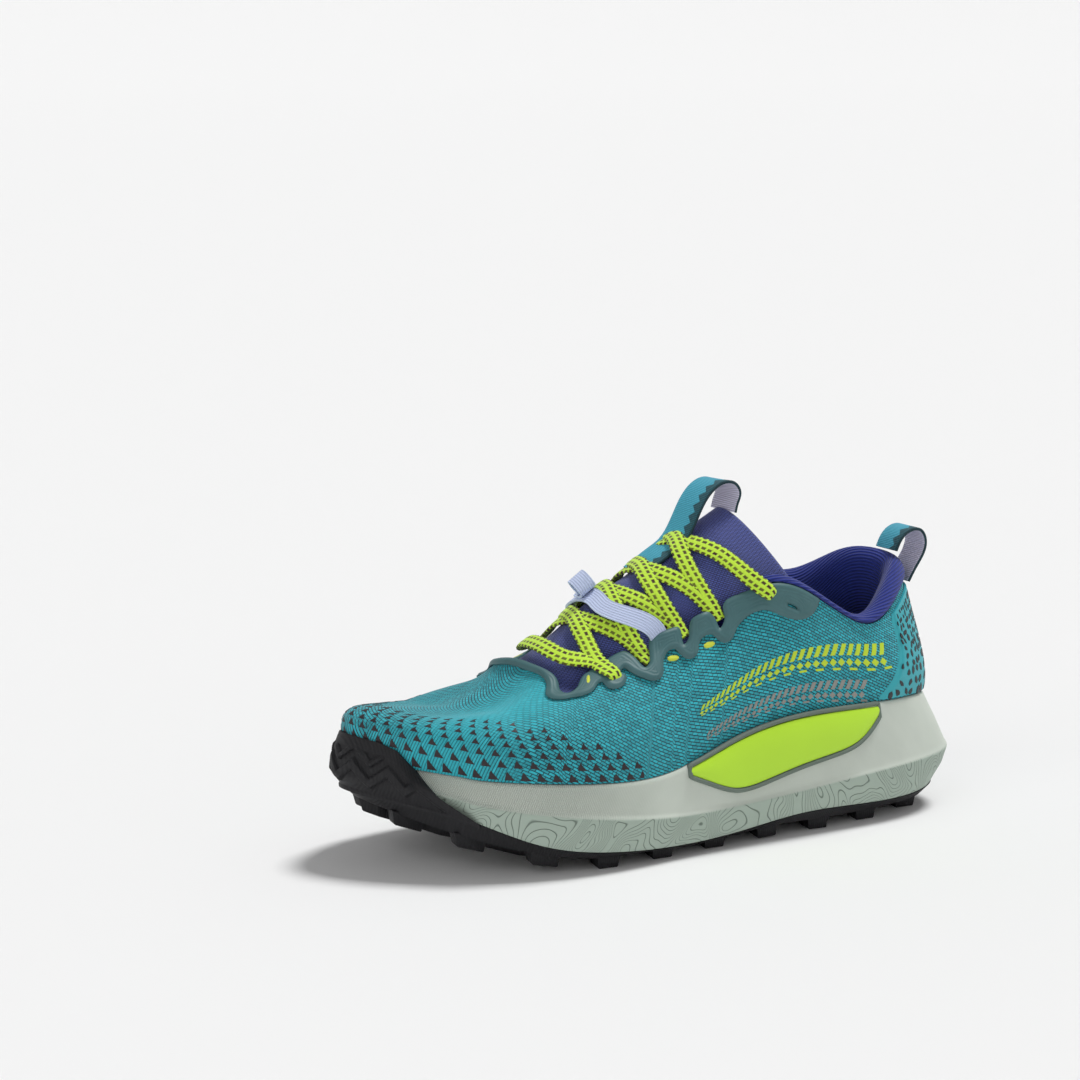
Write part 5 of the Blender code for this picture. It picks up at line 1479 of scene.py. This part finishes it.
def make_keeper(elastic):
    height = 5 * CLEARANCE + LACE_THICK + KEEPER_THICK / 2 + 0.0004
    path = [on_edge(run, depth, lift)[0] for run, depth, lift in KEEPER_TUCK]
    path += [tongue_point(KEEPER * LENGTH, turn, height) for turn in np.linspace(0.36, -KEEPER_SWING, 8)]
    path = along_curve(path, 90)
    across = (-1.0, 0.0, INSTEP_LEAN)
    strip("lace_keeper_strap", path, across, KEEPER_SHOWN, KEEPER_THICK, [elastic] * 3, "lavender_elastic",
          ["lace_keeper"])
    foot = tongue_point(KEEPER * LENGTH, -0.06, height + KEEPER_THICK)
    out = unit(np.array([INSTEP_LEAN, -0.35, 1.0]))
    side = np.array([0.0, -1.0, 0.0])
    tab = [foot + side * (forward - 0.004) + out * up for forward, up in KEEPER_TAB]
    strip("lace_keeper_tab", along_curve(tab, 60), across, KEEPER_SHOWN, 0.0010, [elastic] * 3,
          "lavender_elastic")


# Groove on the inner side: its front, its length, half its height as a share of the face above the
# ridge, the windows in it, and how deep it and its windows are cut
GROOVE_FRONT = 0.088
GROOVE_LENGTH = 0.112
GROOVE_HALF = 0.34
GROOVE_WINDOWS = 8
GROOVE_DEPTH = 0.0006
WINDOW_DEPTH = 0.0012


def make_midsole(skin):
    columns = 640
    side_rows = 58
    around = np.linspace(0.0, 1.0, columns + 1)
    lines = [ring(around, inset, height) for inset, height in side_rings(around)]
    inset = cup_inset(around)
    top = lines[-1][:, 2]
    shelf = ring(around, inset, top)
    wall = ring(around, inset + INSOLE_SIDE_GAP, top)
    wall[:, 2] = np.minimum(footbed_height(wall[:, 0]) + FOOTBED_DISH, top - FOAM_OVERHANG)
    side = smooth_profile(down_lines(lines, side_rows))
    inner = down_lines([lines[-1], shelf, wall], 8)[:, 1:]
    under, footbed = (
        np.stack([source.mean(axis=0) + (source - source.mean(axis=0)) * k for k in order], axis=1)
        for source, order in ((lines[0], (0.0, 0.35, 0.7)), (wall, (0.7, 0.35, 0.0))))
    points = np.concatenate([under, side, inner, footbed], axis=1)
    points[-1] = points[0]
    height = points[..., 2]
    ridge = lines[2][:, None, 2]
    start = under.shape[1]
    stop = start + side_rows
    # 1 below the ridge: the band that foam_skin paints darker as painted shade, and where its contour lines
    #                    show.
    lower = np.zeros(height.shape)
    lower[:, start:stop] = smooth((ridge + 0.0004 - height[:, start:stop]) / 0.0008)
    x = points[..., 0]
    ribbed = np.zeros(height.shape)
    ribbed[:, start:stop] = (1 - lower[:, start:stop]) * smooth((x[:, start:stop] - 0.010) / 0.06)
    level = (height - ridge) / (lines[-1][:, None, 2] - ridge)
    along = (GROOVE_FRONT - x) / GROOVE_LENGTH
    leaf = GROOVE_HALF * np.sin(np.pi * np.clip(along, 0, 1)) ** 0.7
    within = leaf - np.abs(level - 0.5)
    on_side = np.zeros(height.shape)
    on_side[:, start:stop] = 1.0
    inner_side = (around > 0.55) & (around < 0.95)
    inside = smooth(within / 0.10) * inner_side[:, None] * on_side * (leaf > 0.02)
    window = smooth((0.42 - np.abs((along * GROOVE_WINDOWS) % 1.0 - 0.5)) / 0.08) * smooth(within / 0.2)
    out = np.column_stack([ridge_line(around)[1], np.zeros(columns + 1)])[:, None]
    points = points - out * (inside * (GROOVE_DEPTH + WINDOW_DEPTH * window))[..., None]
    points[-1] = points[0]
    plain = 1 - smooth((around - 0.47) / 0.05) * smooth((0.97 - around) / 0.03)
    tags = {"lower": lower, "ribbed": ribbed * (1 - inside), "groove": inside * window,
            "lined": plain[:, None] * np.ones(height.shape)}
    thing = close_up(bent_grid("midsole_foam", points, tags=tags))
    return fit_out(thing, [skin], "sage_foam", ["midsole"], sharp=60)


def pad_lines(grow, count, rows):
    """Rows of the side pad's face, from its lower to its upper edge, and of its back."""
    line = spline(SIDE_PAD[:, 0], SIDE_PAD[:, 1:])
    stations = np.linspace(SIDE_PAD[0, 0], SIDE_PAD[-1, 0], count)
    around = np.array([side_place(share * LENGTH) for share in stations])
    depth = np.maximum(line(stations)[:, 0], 0.04) * PAD_DEPTH
    top = SOLE_CURVE(around)[:, 4] * SOLE_HEIGHT - PAD_LIP
    low = top - depth
    ends = np.sqrt(np.sin(np.pi * (0.04 + 0.92 * np.linspace(0, 1, count))))
    lines = []
    for share in np.linspace(0, 1, rows):
        height = low - grow + (depth + 2 * grow) * share
        crown = PAD_CROWN * math.sin(math.pi * (0.06 + 0.88 * share)) ** 0.4
        lines.append(ring(around, side_inset(around, height) - crown * ends - grow, height))
    for share in (1.0, 0.5, 0.0):
        height = low - grow + (depth + 2 * grow) * share
        lines.append(ring(around, side_inset(around, height) + PAD_POCKET - 0.0004 + grow, height))
    lines.append(lines[0])
    return np.stack(lines, axis=1)


def make_side_pad(foam, groove):
    points = pad_lines(0.0, 140, 30)
    thing = close_up(bent_grid("side_pad_pod", capped(points)))
    fit_out(thing, [foam], "lime_foam", ["side_pad"], sharp=60)
    around_pad = pad_lines(0.0013, 140, 30)
    rim = np.concatenate([around_pad[:, 0], around_pad[::-1, 29]])
    count = len(rim)
    way = unit(np.roll(rim, -1, axis=0) - np.roll(rim, 1, axis=0))
    out = np.tile(np.array([0.0, 1.0, 0.0]), (count, 1))
    side = unit(np.cross(way, out))
    tube = []
    for s in range(9):
        turn = 2 * math.pi * s / 8
        tube.append(rim - out * 0.0016 + side * 0.0011 * math.cos(turn) + out * 0.0012 * math.sin(turn))
    points = np.stack(tube, axis=1)
    points = np.concatenate([points, points[:1]])
    thing = close_up(bent_grid("side_pad_groove", points))
    return fit_out(thing, [groove], "sage_foam", sharp=80)


def make_insole(cloth):
    columns = 260
    around = np.linspace(0.0, 1.0, columns + 1)
    base = ring(around, cup_inset(around) + 2 * INSOLE_SIDE_GAP, np.zeros(columns + 1))
    top = SOLE_CURVE(around)[:, 4] * SOLE_HEIGHT
    rim = np.minimum(footbed_height(base[:, 0]) + FOOTBED_DISH, top - FOAM_OVERHANG)
    low = base.copy()
    low[:, 2] = rim + CLEARANCE
    high = base.copy()
    high[:, 2] = rim + INSOLE
    rows = []
    for source, order in ((low, (0.0, 0.25, 0.5, 0.75, 0.97)),
                          (high, (0.985, 0.95, 0.8, 0.6, 0.4, 0.2, 0.0))):
        for k in order:
            spine = source.copy()
            spine[:, 1] = source[:, 1].mean() * 0.4
            spine[:, 0] = source[:, 0] * 0.72
            line = spine + (source - spine) * k
            line[:, 2] = source[:, 2] - FOOTBED_DISH * (1 - k ** 2)
            rows.append(line)
    points = np.stack(rows, axis=1)
    points[:, 0] = points[:, 0].mean(axis=0)
    points[:, -1] = points[:, -1].mean(axis=0)
    points[-1] = points[0]
    thing = close_up(bent_grid("insole_sock", points))
    return fit_out(thing, [cloth], "insole_cloth", ["insole"], sharp=50)


def lug_places():
    """Outlines in plan and centres of all the lugs."""
    places = []
    rows = int(0.92 * LENGTH / LUG_PITCH)
    half = LUG_LENGTH / 2
    block = [(-half, -LUG_WIDTH / 2), (half, -LUG_WIDTH / 2), (half, LUG_WIDTH / 2), (-half, LUG_WIDTH / 2)]
    for row in range(rows + 1):
        x = min(FIRST_LUG * LENGTH + row * LUG_PITCH, LAST_LUG * LENGTH)
        outer = min(tread_limit(x - half, False), tread_limit(x + half, False))
        inner = max(tread_limit(x - half, True), tread_limit(x + half, True))
        if outer - inner < 2.2 * LUG_WIDTH:
            continue
        turn = 0.10 * LUG_LENGTH
        places.append(([(a + turn * (1 if b > 0 else -1), b) for a, b in block], x, outer - LUG_WIDTH / 2))
        places.append(([(a + turn * (1 if b < 0 else -1), b) for a, b in block], x, inner + LUG_WIDTH / 2))
        middle = (outer + inner) / 2
        free = outer - inner - 2 * LUG_WIDTH - 0.006
        columns = 2 if free > 1.7 * CHEVRON_WIDTH else 1
        width = min(CHEVRON_WIDTH, free) if columns == 1 else min(CHEVRON_WIDTH, free / 2 - 0.002)
        for column in range(columns):
            shift = 0.0 if columns == 1 else (column - 0.5) * (width + 0.004)
            places.append((chevron(width), x + 0.5 * LUG_PITCH - 0.008, middle + shift))
    return places


# The tread's depth between the lugs
LUG_DEPTH = 0.0054


def toward_spine(line, share):
    """A ring of the sole drawn in towards its spine: 0 on the spine, 1 where it was."""
    spine = line * (0.75, 0.0, 1.0)
    return spine + (line - spine) * share


def make_outsole(black):
    columns = 420
    around = np.linspace(0.0, 1.0, columns + 1)
    table = SOLE_CURVE(around)
    split = table[:, 2] * SOLE_HEIGHT
    split_in = table[:, 6] * FLARE
    tread = ring(around, table[:, 7] * FLARE, split)
    tread[:, 2] = np.minimum(spring(tread[:, 0]) + LUG_DEPTH, split - PLATE_LEAST)
    edge = ring(around, split_in - CLEARANCE, split - CLEARANCE)
    high = ring(around, split_in + 0.001, split - CLEARANCE)
    rows = []
    for k in (0.0, 0.3, 0.6, 0.85):
        line = toward_spine(tread, k)
        line[:, 2] = np.minimum(spring(line[:, 0]) + LUG_DEPTH, split - PLATE_LEAST)
        rows.append(line)
    rows += [tread, 0.5 * (tread + edge), edge, high]
    for k in (0.85, 0.4, 0.0):
        line = toward_spine(high, k)
        line[:, 2] = high[:, 2] * 0.5 + 0.5 * line[:, 2]
        rows.append(line)
    points = np.stack(rows, axis=1)
    points[:, 0] = points[:, 0].mean(axis=0)
    points[:, -1] = points[:, -1].mean(axis=0)
    points[-1] = points[0]
    thing = close_up(bent_grid("outsole_plate", points))
    fit_out(thing, [black], "rubber_outsole", ["outsole"], sharp=40)
    make_lugs(black)
    make_bumper(black)


def make_lugs(black):
    verts = []
    faces = []
    for outline, x, y in lug_places():
        outline = np.asarray(outline)
        centre = outline.mean(axis=0)
        levels = ((1.0, 1.0), (0.90, 0.45), (0.84, 0.08), (0.78, 0.0))
        long = 1.25 + 0.45 * smooth(np.array([(x - 0.04) / 0.05]))[0]
        start = len(verts)
        count = len(outline)
        for scale, rise in levels:
            for point in centre + (outline - centre) * scale:
                lift = spring(np.array([x + point[0] * long]))[0]
                verts.append((x + point[0] * long, y + point[1], lift + rise * (LUG_DEPTH + LUG_BITE)))
        for level in range(len(levels) - 1):
            for k in range(count):
                n = (k + 1) % count
                a = start + level * count
                faces.append((a + k, a + n, a + count + n, a + count + k))
        faces.append(tuple(start + k for k in range(count)))
        faces.append(tuple(start + (len(levels) - 1) * count + k for k in range(count)))
    thing = close_up(from_faces("outsole_lugs", np.array(verts), faces))
    only(thing)
    edges = thing.modifiers.new("edges", "BEVEL")
    edges.width = 0.0003
    edges.segments = 2
    edges.limit_method = "ANGLE"
    edges.angle_limit = math.radians(35)
    bpy.ops.object.modifier_apply(modifier=edges.name)
    return fit_out(thing, [black], "rubber_outsole", sharp=35)


# Place round the sole, and how far up the bumper reaches: 0 sole line, 1 ridge, 2 top of the foam,
# 3 full height
BUMPER_CREST = np.array([
    (0.412, 0.0), (0.424, 0.35), (0.435, 0.78), (0.442, 1.12), (0.450, 1.60), (0.460, 2.20), (0.468, 2.72),
    (0.480, 2.92), (0.500, 2.97), (0.525, 3.0), (0.545, 2.85), (0.556, 2.5), (0.564, 2.06), (0.572, 1.52),
    (0.579, 1.12), (0.586, 0.78), (0.595, 0.35), (0.605, 0.0),
])


def make_bumper(black):
    """Toe bumper: rubber carried up over the foam and the toe, with raised arrow-shaped ribs."""
    count = 300
    rows = 60
    around = np.linspace(BUMPER_CREST[0, 0], BUMPER_CREST[-1, 0], count)
    table = SOLE_CURVE(around)
    split, ridge, top = (table[:, i] * SOLE_HEIGHT for i in (2, 3, 4))
    foot = split - 0.5 * PLATE
    reach = np.interp(around, BUMPER_CREST[:, 0], BUMPER_CREST[:, 1])
    levels = np.stack([split, ridge, top, top + 0.0105], axis=1)
    crest = np.array([np.interp(r, (0, 1, 2, 3), level) for r, level in zip(reach, levels)])
    out = np.column_stack([ridge_line(around)[1], np.zeros(count)])
    bed = under_bumper(around) * (BUMPER_WALL + CLEARANCE)
    line = ridge_line(around)[0]
    foam = [ring(around, inset, height) for inset, height in side_rings(around)]
    toe = [shell(around, share) for share in np.concatenate([np.linspace(0.0, 0.12, 9), (0.16, 0.2, 0.3)])]
    rise = np.linspace(0, 1, rows)
    face = np.empty((count, rows, 3))
    for k in range(count):
        heights = foot[k] + (crest[k] - foot[k]) * rise
        reached = []
        for profile in (foam, toe):
            points = np.array([row[k] for row in profile])
            stand = (points[:, :2] - line[k]) @ out[k, :2]
            reached.append(np.interp(heights, points[:, 2], stand, right=-1.0))
        reached[1][heights < toe[0][k, 2]] = -1.0
        low = 1 - smooth((heights - top[k]) / 0.008)
        stand = np.maximum(reached[0] + bed[k] * low, reached[1]) + 0.0013
        edge = np.interp(ridge[k], heights, stand)
        chord = np.interp(heights, (min(ridge[k], crest[k]), crest[k]), (edge, stand[-1]))
        swell = 0.0009 * np.sin(np.pi * np.clip((heights - ridge[k]) / max(crest[k] - ridge[k], 1e-4), 0, 1))
        stand = np.where(heights > ridge[k], np.maximum(stand, chord + swell), stand)
        face[k] = np.column_stack([line[k] + np.outer(stand, out[k, :2]), heights])
    face = smooth_profile(face, 6)
    run = run_along(face[:, 25])
    run = (run - run[-1] / 2)[:, None]
    height = (face[..., 2] - foot[:, None])
    below = (crest[:, None] - face[..., 2])
    beat = np.abs(((run / 0.0185 + 0.5) % 1.0) - 0.5) * 2
    arrow = np.abs(height - (0.007 + 0.007 * beat))
    second = np.abs(height - (0.0155 + 0.0065 * beat))
    ribs = smooth((0.0028 - arrow) / 0.0008) + smooth((0.0017 - second) / 0.0006)
    inside = smooth((below - 0.0042) / 0.0016) * smooth((height - 0.001) / 0.001)
    face += out[:, None] * (-0.0007 * inside + 0.0015 * np.clip(ribs, 0, 1) * inside)[..., None]
    lip = face[:, -1] - out * 0.0013 - np.array([0, 0, 0.0004])
    deep = face[:, -1] - out * 0.0024 - np.array([0, 0, 0.0030])
    under = face[:, 0] - out * 0.003
    points = np.concatenate([face, np.stack([lip, deep, under], axis=1), face[:, :1]], axis=1)
    thing = close_up(bent_grid("toe_bumper", capped(points, 2)))
    return fit_out(thing, [black], "rubber_outsole", sharp=50)


def make_toe_triangles(ink):
    """Printed right-angled triangles in staggered rows round the toe, seven rows at the front."""
    outlines = []
    pitch = 0.0070
    places = np.linspace(0.30, 0.72, 600)
    line = shell(places, 0.05)
    run = run_along(line)
    for row in range(7):
        size = 0.0045 * (1 - 0.05 * row)
        level = 0.0008 + row * 0.0046
        for n in range(int(run[-1] / pitch)):
            s = (n + 0.5 * (row % 2)) * pitch
            x = np.interp(s, run, line[:, 0])
            y = np.interp(s, run, line[:, 1])
            side_rows = (x - 0.018) / 0.0125 if y > -0.010 else (x - 0.045) / 0.0125
            if row > side_rows:
                continue
            low, right, high = s + 0.5 * size, s - 0.5 * size, level + (0.70 + 0.06 * row) * size
            outlines.append([(low, level), (s, level), (right, level), (s + 0.1 * size, level + 0.5 * size),
                             (low - 0.2 * size, high), (low - 0.08 * size, level + 0.5 * size)])

    def lay(s, h, offset):
        around = np.interp(s, run, places)
        total = np.linalg.norm(shell(around, 0.3) - shell(around, 0.0), axis=1) / 0.3
        share = np.clip(h / total, 0.002, 0.98)
        return shell_at(around, share, offset - creases(around, share))

    return patches("toe_triangles", outlines, lay, 0.00016, ink, "turquoise_knit", sink=0.0002)


# The printed bands are drawn this much wider than their tables
BAND_SWELL = 1.2
BAND_LINES = {
    # Place round the rim, share up the wall, half width in metres
    "side_band_lime": np.array([(0.2580, 0.325, 0.0019), (0.2340, 0.345, 0.0030), (0.2080, 0.385, 0.0036),
                                (0.1800, 0.430, 0.0042), (0.1560, 0.490, 0.0048), (0.1330, 0.560, 0.0050),
                                (0.1120, 0.585, 0.0052), (0.0920, 0.575, 0.0050)]),
    "side_band_grey": np.array([(0.2510, 0.125, 0.0014), (0.2330, 0.130, 0.0022), (0.2080, 0.142, 0.0029),
                                (0.1830, 0.160, 0.0034), (0.1580, 0.170, 0.0040), (0.1370, 0.165, 0.0042),
                                (0.1180, 0.150, 0.0042)]),
}


def make_band(name, ink):
    """A printed band of leaning bars above and small lozenges below, along a line on the quarter."""
    table = BAND_LINES[name]
    curve = spline(np.linspace(0, 1, len(table)), table)
    fine = curve(np.linspace(0, 1, 400))
    line = shell(fine[:, 0], fine[:, 1])
    run = run_along(line)
    outlines = []
    s = 0.001
    number = 0
    while s < run[-1] - 0.003:
        half = BAND_SWELL * np.interp(s, run, fine[:, 2])
        step = 0.62 * half + 0.0011
        lean = 0.45 * half
        end = s + 0.55 * step
        outlines.append([(s, 0.12 * half), (end, 0.12 * half), (end + 0.5 * lean, 0.5 * half),
                         (end + lean, half), (s + lean, half), (s + 0.5 * lean, 0.5 * half)])
        middle = s + 0.3 * step
        outlines.append([(middle - 0.42 * step, -0.42 * half), (middle, -0.10 * half),
                         (middle + 0.42 * step, -0.42 * half), (middle, -0.74 * half)])
        if number % 2 == 0:
            outlines.append([(middle - 0.1 * step, -0.86 * half), (middle + 0.8 * step, -0.86 * half),
                             (middle + 0.9 * step, -1.05 * half), (middle, -1.05 * half)])
        s += step
        number += 1

    def lay(s, h, offset):
        around = np.interp(s, run, fine[:, 0])
        share = np.interp(s, run, fine[:, 1])
        total = np.linalg.norm(shell(around, share + 0.05) - shell(around, share - 0.05), axis=1) / 0.1
        share = np.clip(share + h / total, 0.01, 0.98)
        return shell_at(around, share, offset - creases(around, share))

    return patches(name, outlines, lay, 0.0002, ink, "turquoise_knit", sink=0.0002)


def film_point(run, depth, extra):
    """A point this far over the film's face; run and depth in mm."""
    run = np.atleast_1d(np.asarray(run, float)) * MM
    depth = np.broadcast_to(np.asarray(depth, float) * MM, run.shape)
    height = film_height(run, depth, np.full(run.shape, 0.002))
    return on_edge(run, depth, height + extra), shell_normal(place_at(run), share_below(place_at(run), depth))


def make_film_trim(thread, tack, film):
    """Stitches along the front of the film, bar tacks beside the lobes, and the eyelets' rings."""
    seam = along_curve(np.array([(0, 2.2), (10, 2.2), (19, 2.3), (23.4, 3.2), (26.4, 5.4), (28.6, 9.8),
                                 (31.4, 12.0), (35.5, 12.2), (39.2, 10.8), (40.6, 7.0), (41.4, 3.0)]), 240)
    leaf = along_curve(np.array([(62.5, 4.2), (65.6, 7.2), (68.4, 11.2), (71.4, 15.6), (74.2, 17.4),
                                 (76.8, 17.2)]), 90)
    paths = []
    for line in (seam, leaf):
        run = run_along(line)
        for side in (1, -1):
            for n in range(int(run[-1] / 2.1)):
                mark = np.linspace(n * 2.1 + 0.3, n * 2.1 + 1.7, 4)
                along = np.interp(mark, run, line[:, 0]) * side
                below = np.interp(mark, run, line[:, 1])
                points, out = film_point(along, below, 0.0003)
                paths.append((points + out * np.array([-0.0003, 0.0001, 0.0001, -0.0003])[:, None], out))
    for side in (1, -1):
        for n in range(4):
            mark = np.linspace(0, 1, 4)
            points, out = film_point((116.2 + n * 1.3 + 0.8 * mark) * side, 2.2 + 4.6 * mark, 0.0004)
            paths.append((points, out))
    threads("film_stitches", paths, 0.00032, thread, "slate_film")
    tacks = []
    for side in (1, -1):
        for run, depth, turn, on_film in ((87.2, 14.0, 0.30, False), (106.0, 15.6, 0.30, False),
                                          (43.6, 6.6, 1.45, True)):
            for n in range(9):
                aside = (n - 4) * 0.00062
                mark = np.linspace(-1, 1, 5)
                half = 0.00135 * (1 - 0.5 * (abs(n - 4) / 4) ** 4)
                along = side * (run * MM + aside * math.cos(turn)) + side * mark * half * -math.sin(turn)
                below = depth * MM + aside * math.sin(turn) + mark * half * math.cos(turn)
                lift = (EYESTAY + CLEARANCE if on_film else 0.0) + 0.0004 * (1 - mark ** 4)
                points = on_edge(along, below, lift)
                around = place_at(along)
                tacks.append((points, shell_normal(around, share_below(around, below))))
    threads("bar_tacks", tacks, 0.00042, tack, "turquoise_knit", squash=0.8)
    rings = []
    for side in (1, -1):
        for centre in (FILM_SLOT, FILM_EYELET):
            turn = np.linspace(0, 2 * math.pi, 37)
            along = side * (centre[0] + RING_RADIUS * np.cos(turn))
            points, out = film_point(along, centre[1] + RING_RADIUS * np.sin(turn), 0.0003)
            rings.append((points, out))
    threads("eyelet_rings", rings, 0.00022, film, "slate_film", sides=8)


def make_camera():
    """The photograph's own view: place and lens are fitted to its landmarks."""
    lens = bpy.data.cameras.new("camera")
    lens.sensor_width = 36.0
    lens.lens = 103.36667
    camera = bpy.data.objects.new("camera", lens)
    bpy.context.scene.collection.objects.link(camera)
    camera.matrix_world = Matrix((
        (-0.8891276, -0.0808391, 0.4504633, 0.6699888),
        (0.4575982, -0.1409366, 0.8779184, 1.1943656),
        (-0.0074834, 0.9867127, 0.1623025, 0.3582425),
        (0.0, 0.0, 0.0, 1.0)))
    bpy.context.scene.camera = camera


WORLD_LIGHT = 0.26


def make_stage():
    """A pale floor that rises in a smooth bowl far from the shoe, and soft studio light."""
    turns = np.linspace(0, 2 * math.pi, 97)
    radii = [0.0, 0.5, 2.0, 8.0, 20.0]
    heights = [0.0] * 5
    for k in range(1, 25):
        turn = k / 24 * math.radians(60)
        radii.append(20.0 + 70.0 * math.sin(turn))
        heights.append(70.0 * (1 - math.cos(turn)))
    points = np.empty((97, len(radii), 3))
    for j, (radius, height) in enumerate(zip(radii, heights)):
        points[:, j] = np.column_stack([radius * np.cos(turns), radius * np.sin(turns), np.full(97, height)])
    points[-1] = points[0]
    floor = close_up(bent_grid("floor", points + SHIFT), inside_out=True)
    paint = new_material("floor_paint", "#ECECEC", 0.9, Specular_IOR_Level=0.0)[0]
    floor.data.materials.append(paint)
    floor.data.shade_smooth()
    world = bpy.data.worlds.new("studio")
    world.use_nodes = True
    world.node_tree.nodes["Background"].inputs["Color"].default_value = (1.0, 1.0, 1.0, 1.0)
    world.node_tree.nodes["Background"].inputs["Strength"].default_value = WORLD_LIGHT
    bpy.context.scene.world = world
    bpy.context.scene.view_settings.view_transform = "Standard"
    for name, power, size, place in (
            ("key", 2.30, 0.26, (-0.42, -0.05, 1.0)),
            ("fill", 0.95, 1.1, (1.0, 0.75, 0.40))):
        light = bpy.data.lights.new(name, "SUN")
        light.energy = power
        light.angle = size
        lamp = bpy.data.objects.new(name, light)
        lamp.rotation_euler = (-Vector(place)).to_track_quat("-Z", "Y").to_euler()
        bpy.context.scene.collection.objects.link(lamp)


def main():
    make_camera()
    make_stage()
    # Moulded goods: matte charcoal rubber, satin foam, and softer polyurethane with a little gloss
    black = rubber("outsole_rubber", "#1D1D1F")
    sage = foam_skin()
    groove = moulded("eva_groove", "#66736A", 400.0, 0.0001, 0.7)[0]
    lime = moulded("soft_pu_lime", "#B9E72E", 220.0, 0.00015, 0.42, 0.05)[0]
    film = film_skin()
    knit = knit_skin()
    # Cloth: knit and braid show light and dark threads, and plain fabrics faint ribs
    royal = plain_fabric("lining_mesh_royal", "#152A86", 1.5, 0.0, 0.0005)
    navy = thread_cloth("tongue_knit_navy", "#10175A", "#5566B8", (1.9, 0.9, 0.25), math.radians(14), 0.0003,
                        shade=0.3)
    braid = thread_cloth("lace_braid_neon", "#C2F02C", "#3A1218", (2.9, 1.9, 0.66), 0.0, 0.0003, soft=0.5)
    webbing = webbing_skin()
    lining = plain_fabric("webbing_back", "#CFCCDF", 0.9, math.radians(90), 0.0002)
    edge = moulded("webbing_edge", "#12343C", 600.0, 0.0001, 0.8)[0]
    elastic = plain_fabric("elastic_lavender", "#C3CFEE", 1.2, 0.0, 0.0003, shade=0.07)
    sock = plain_fabric("insole_cloth", "#1B2050", 1.2, 0.0, 0.0002)
    # Prints, film and sewing thread: thin, flat and nearly without gloss
    ink = moulded("print_maroon", "#241A20", 500.0, 0.0001, 0.6)[0]
    lime_ink = moulded("print_lime", "#BDD62C", 500.0, 0.0001, 0.5)[0]
    grey_ink = moulded("print_grey", "#8C8D88", 500.0, 0.0001, 0.5)[0]
    tack = moulded("tack_thread", "#D3DC49", 900.0, 0.0001, 0.8)[0]
    thread = moulded("stitch_thread", "#1E3436", 900.0, 0.0001, 0.8)[0]
    heel = moulded("heel_film", "#2FA3AE", 500.0, 0.0001, 0.5)[0]
    fleck = moulded("print_black", "#1A1E22", 500.0, 0.0001, 0.5)[0]
    make_outsole(black)
    make_midsole(sage)
    make_side_pad(lime, groove)
    make_insole(sock)
    make_upper(knit, royal)
    make_film(film)
    make_film_trim(thread, tack, film)
    make_toe_triangles(ink)
    make_band("side_band_lime", lime_ink)
    make_band("side_band_grey", grey_ink)
    make_heel_counter(heel, fleck)
    make_collar(royal)
    make_tongue(navy)
    strip("tongue_loop_webbing", tongue_loop_path(110), (-0.2, 1, 0), LOOP_WIDTH, LOOP_THICK,
          [lining, webbing, edge], "turquoise_webbing", ["tongue_loop"])
    strip("heel_loop_webbing", heel_loop_path(90), (0, 1, 0), LOOP_WIDTH, LOOP_THICK,
          [lining, webbing, edge], "turquoise_webbing", ["heel_loop"])
    make_laces(braid)
    make_keeper(elastic)


main()
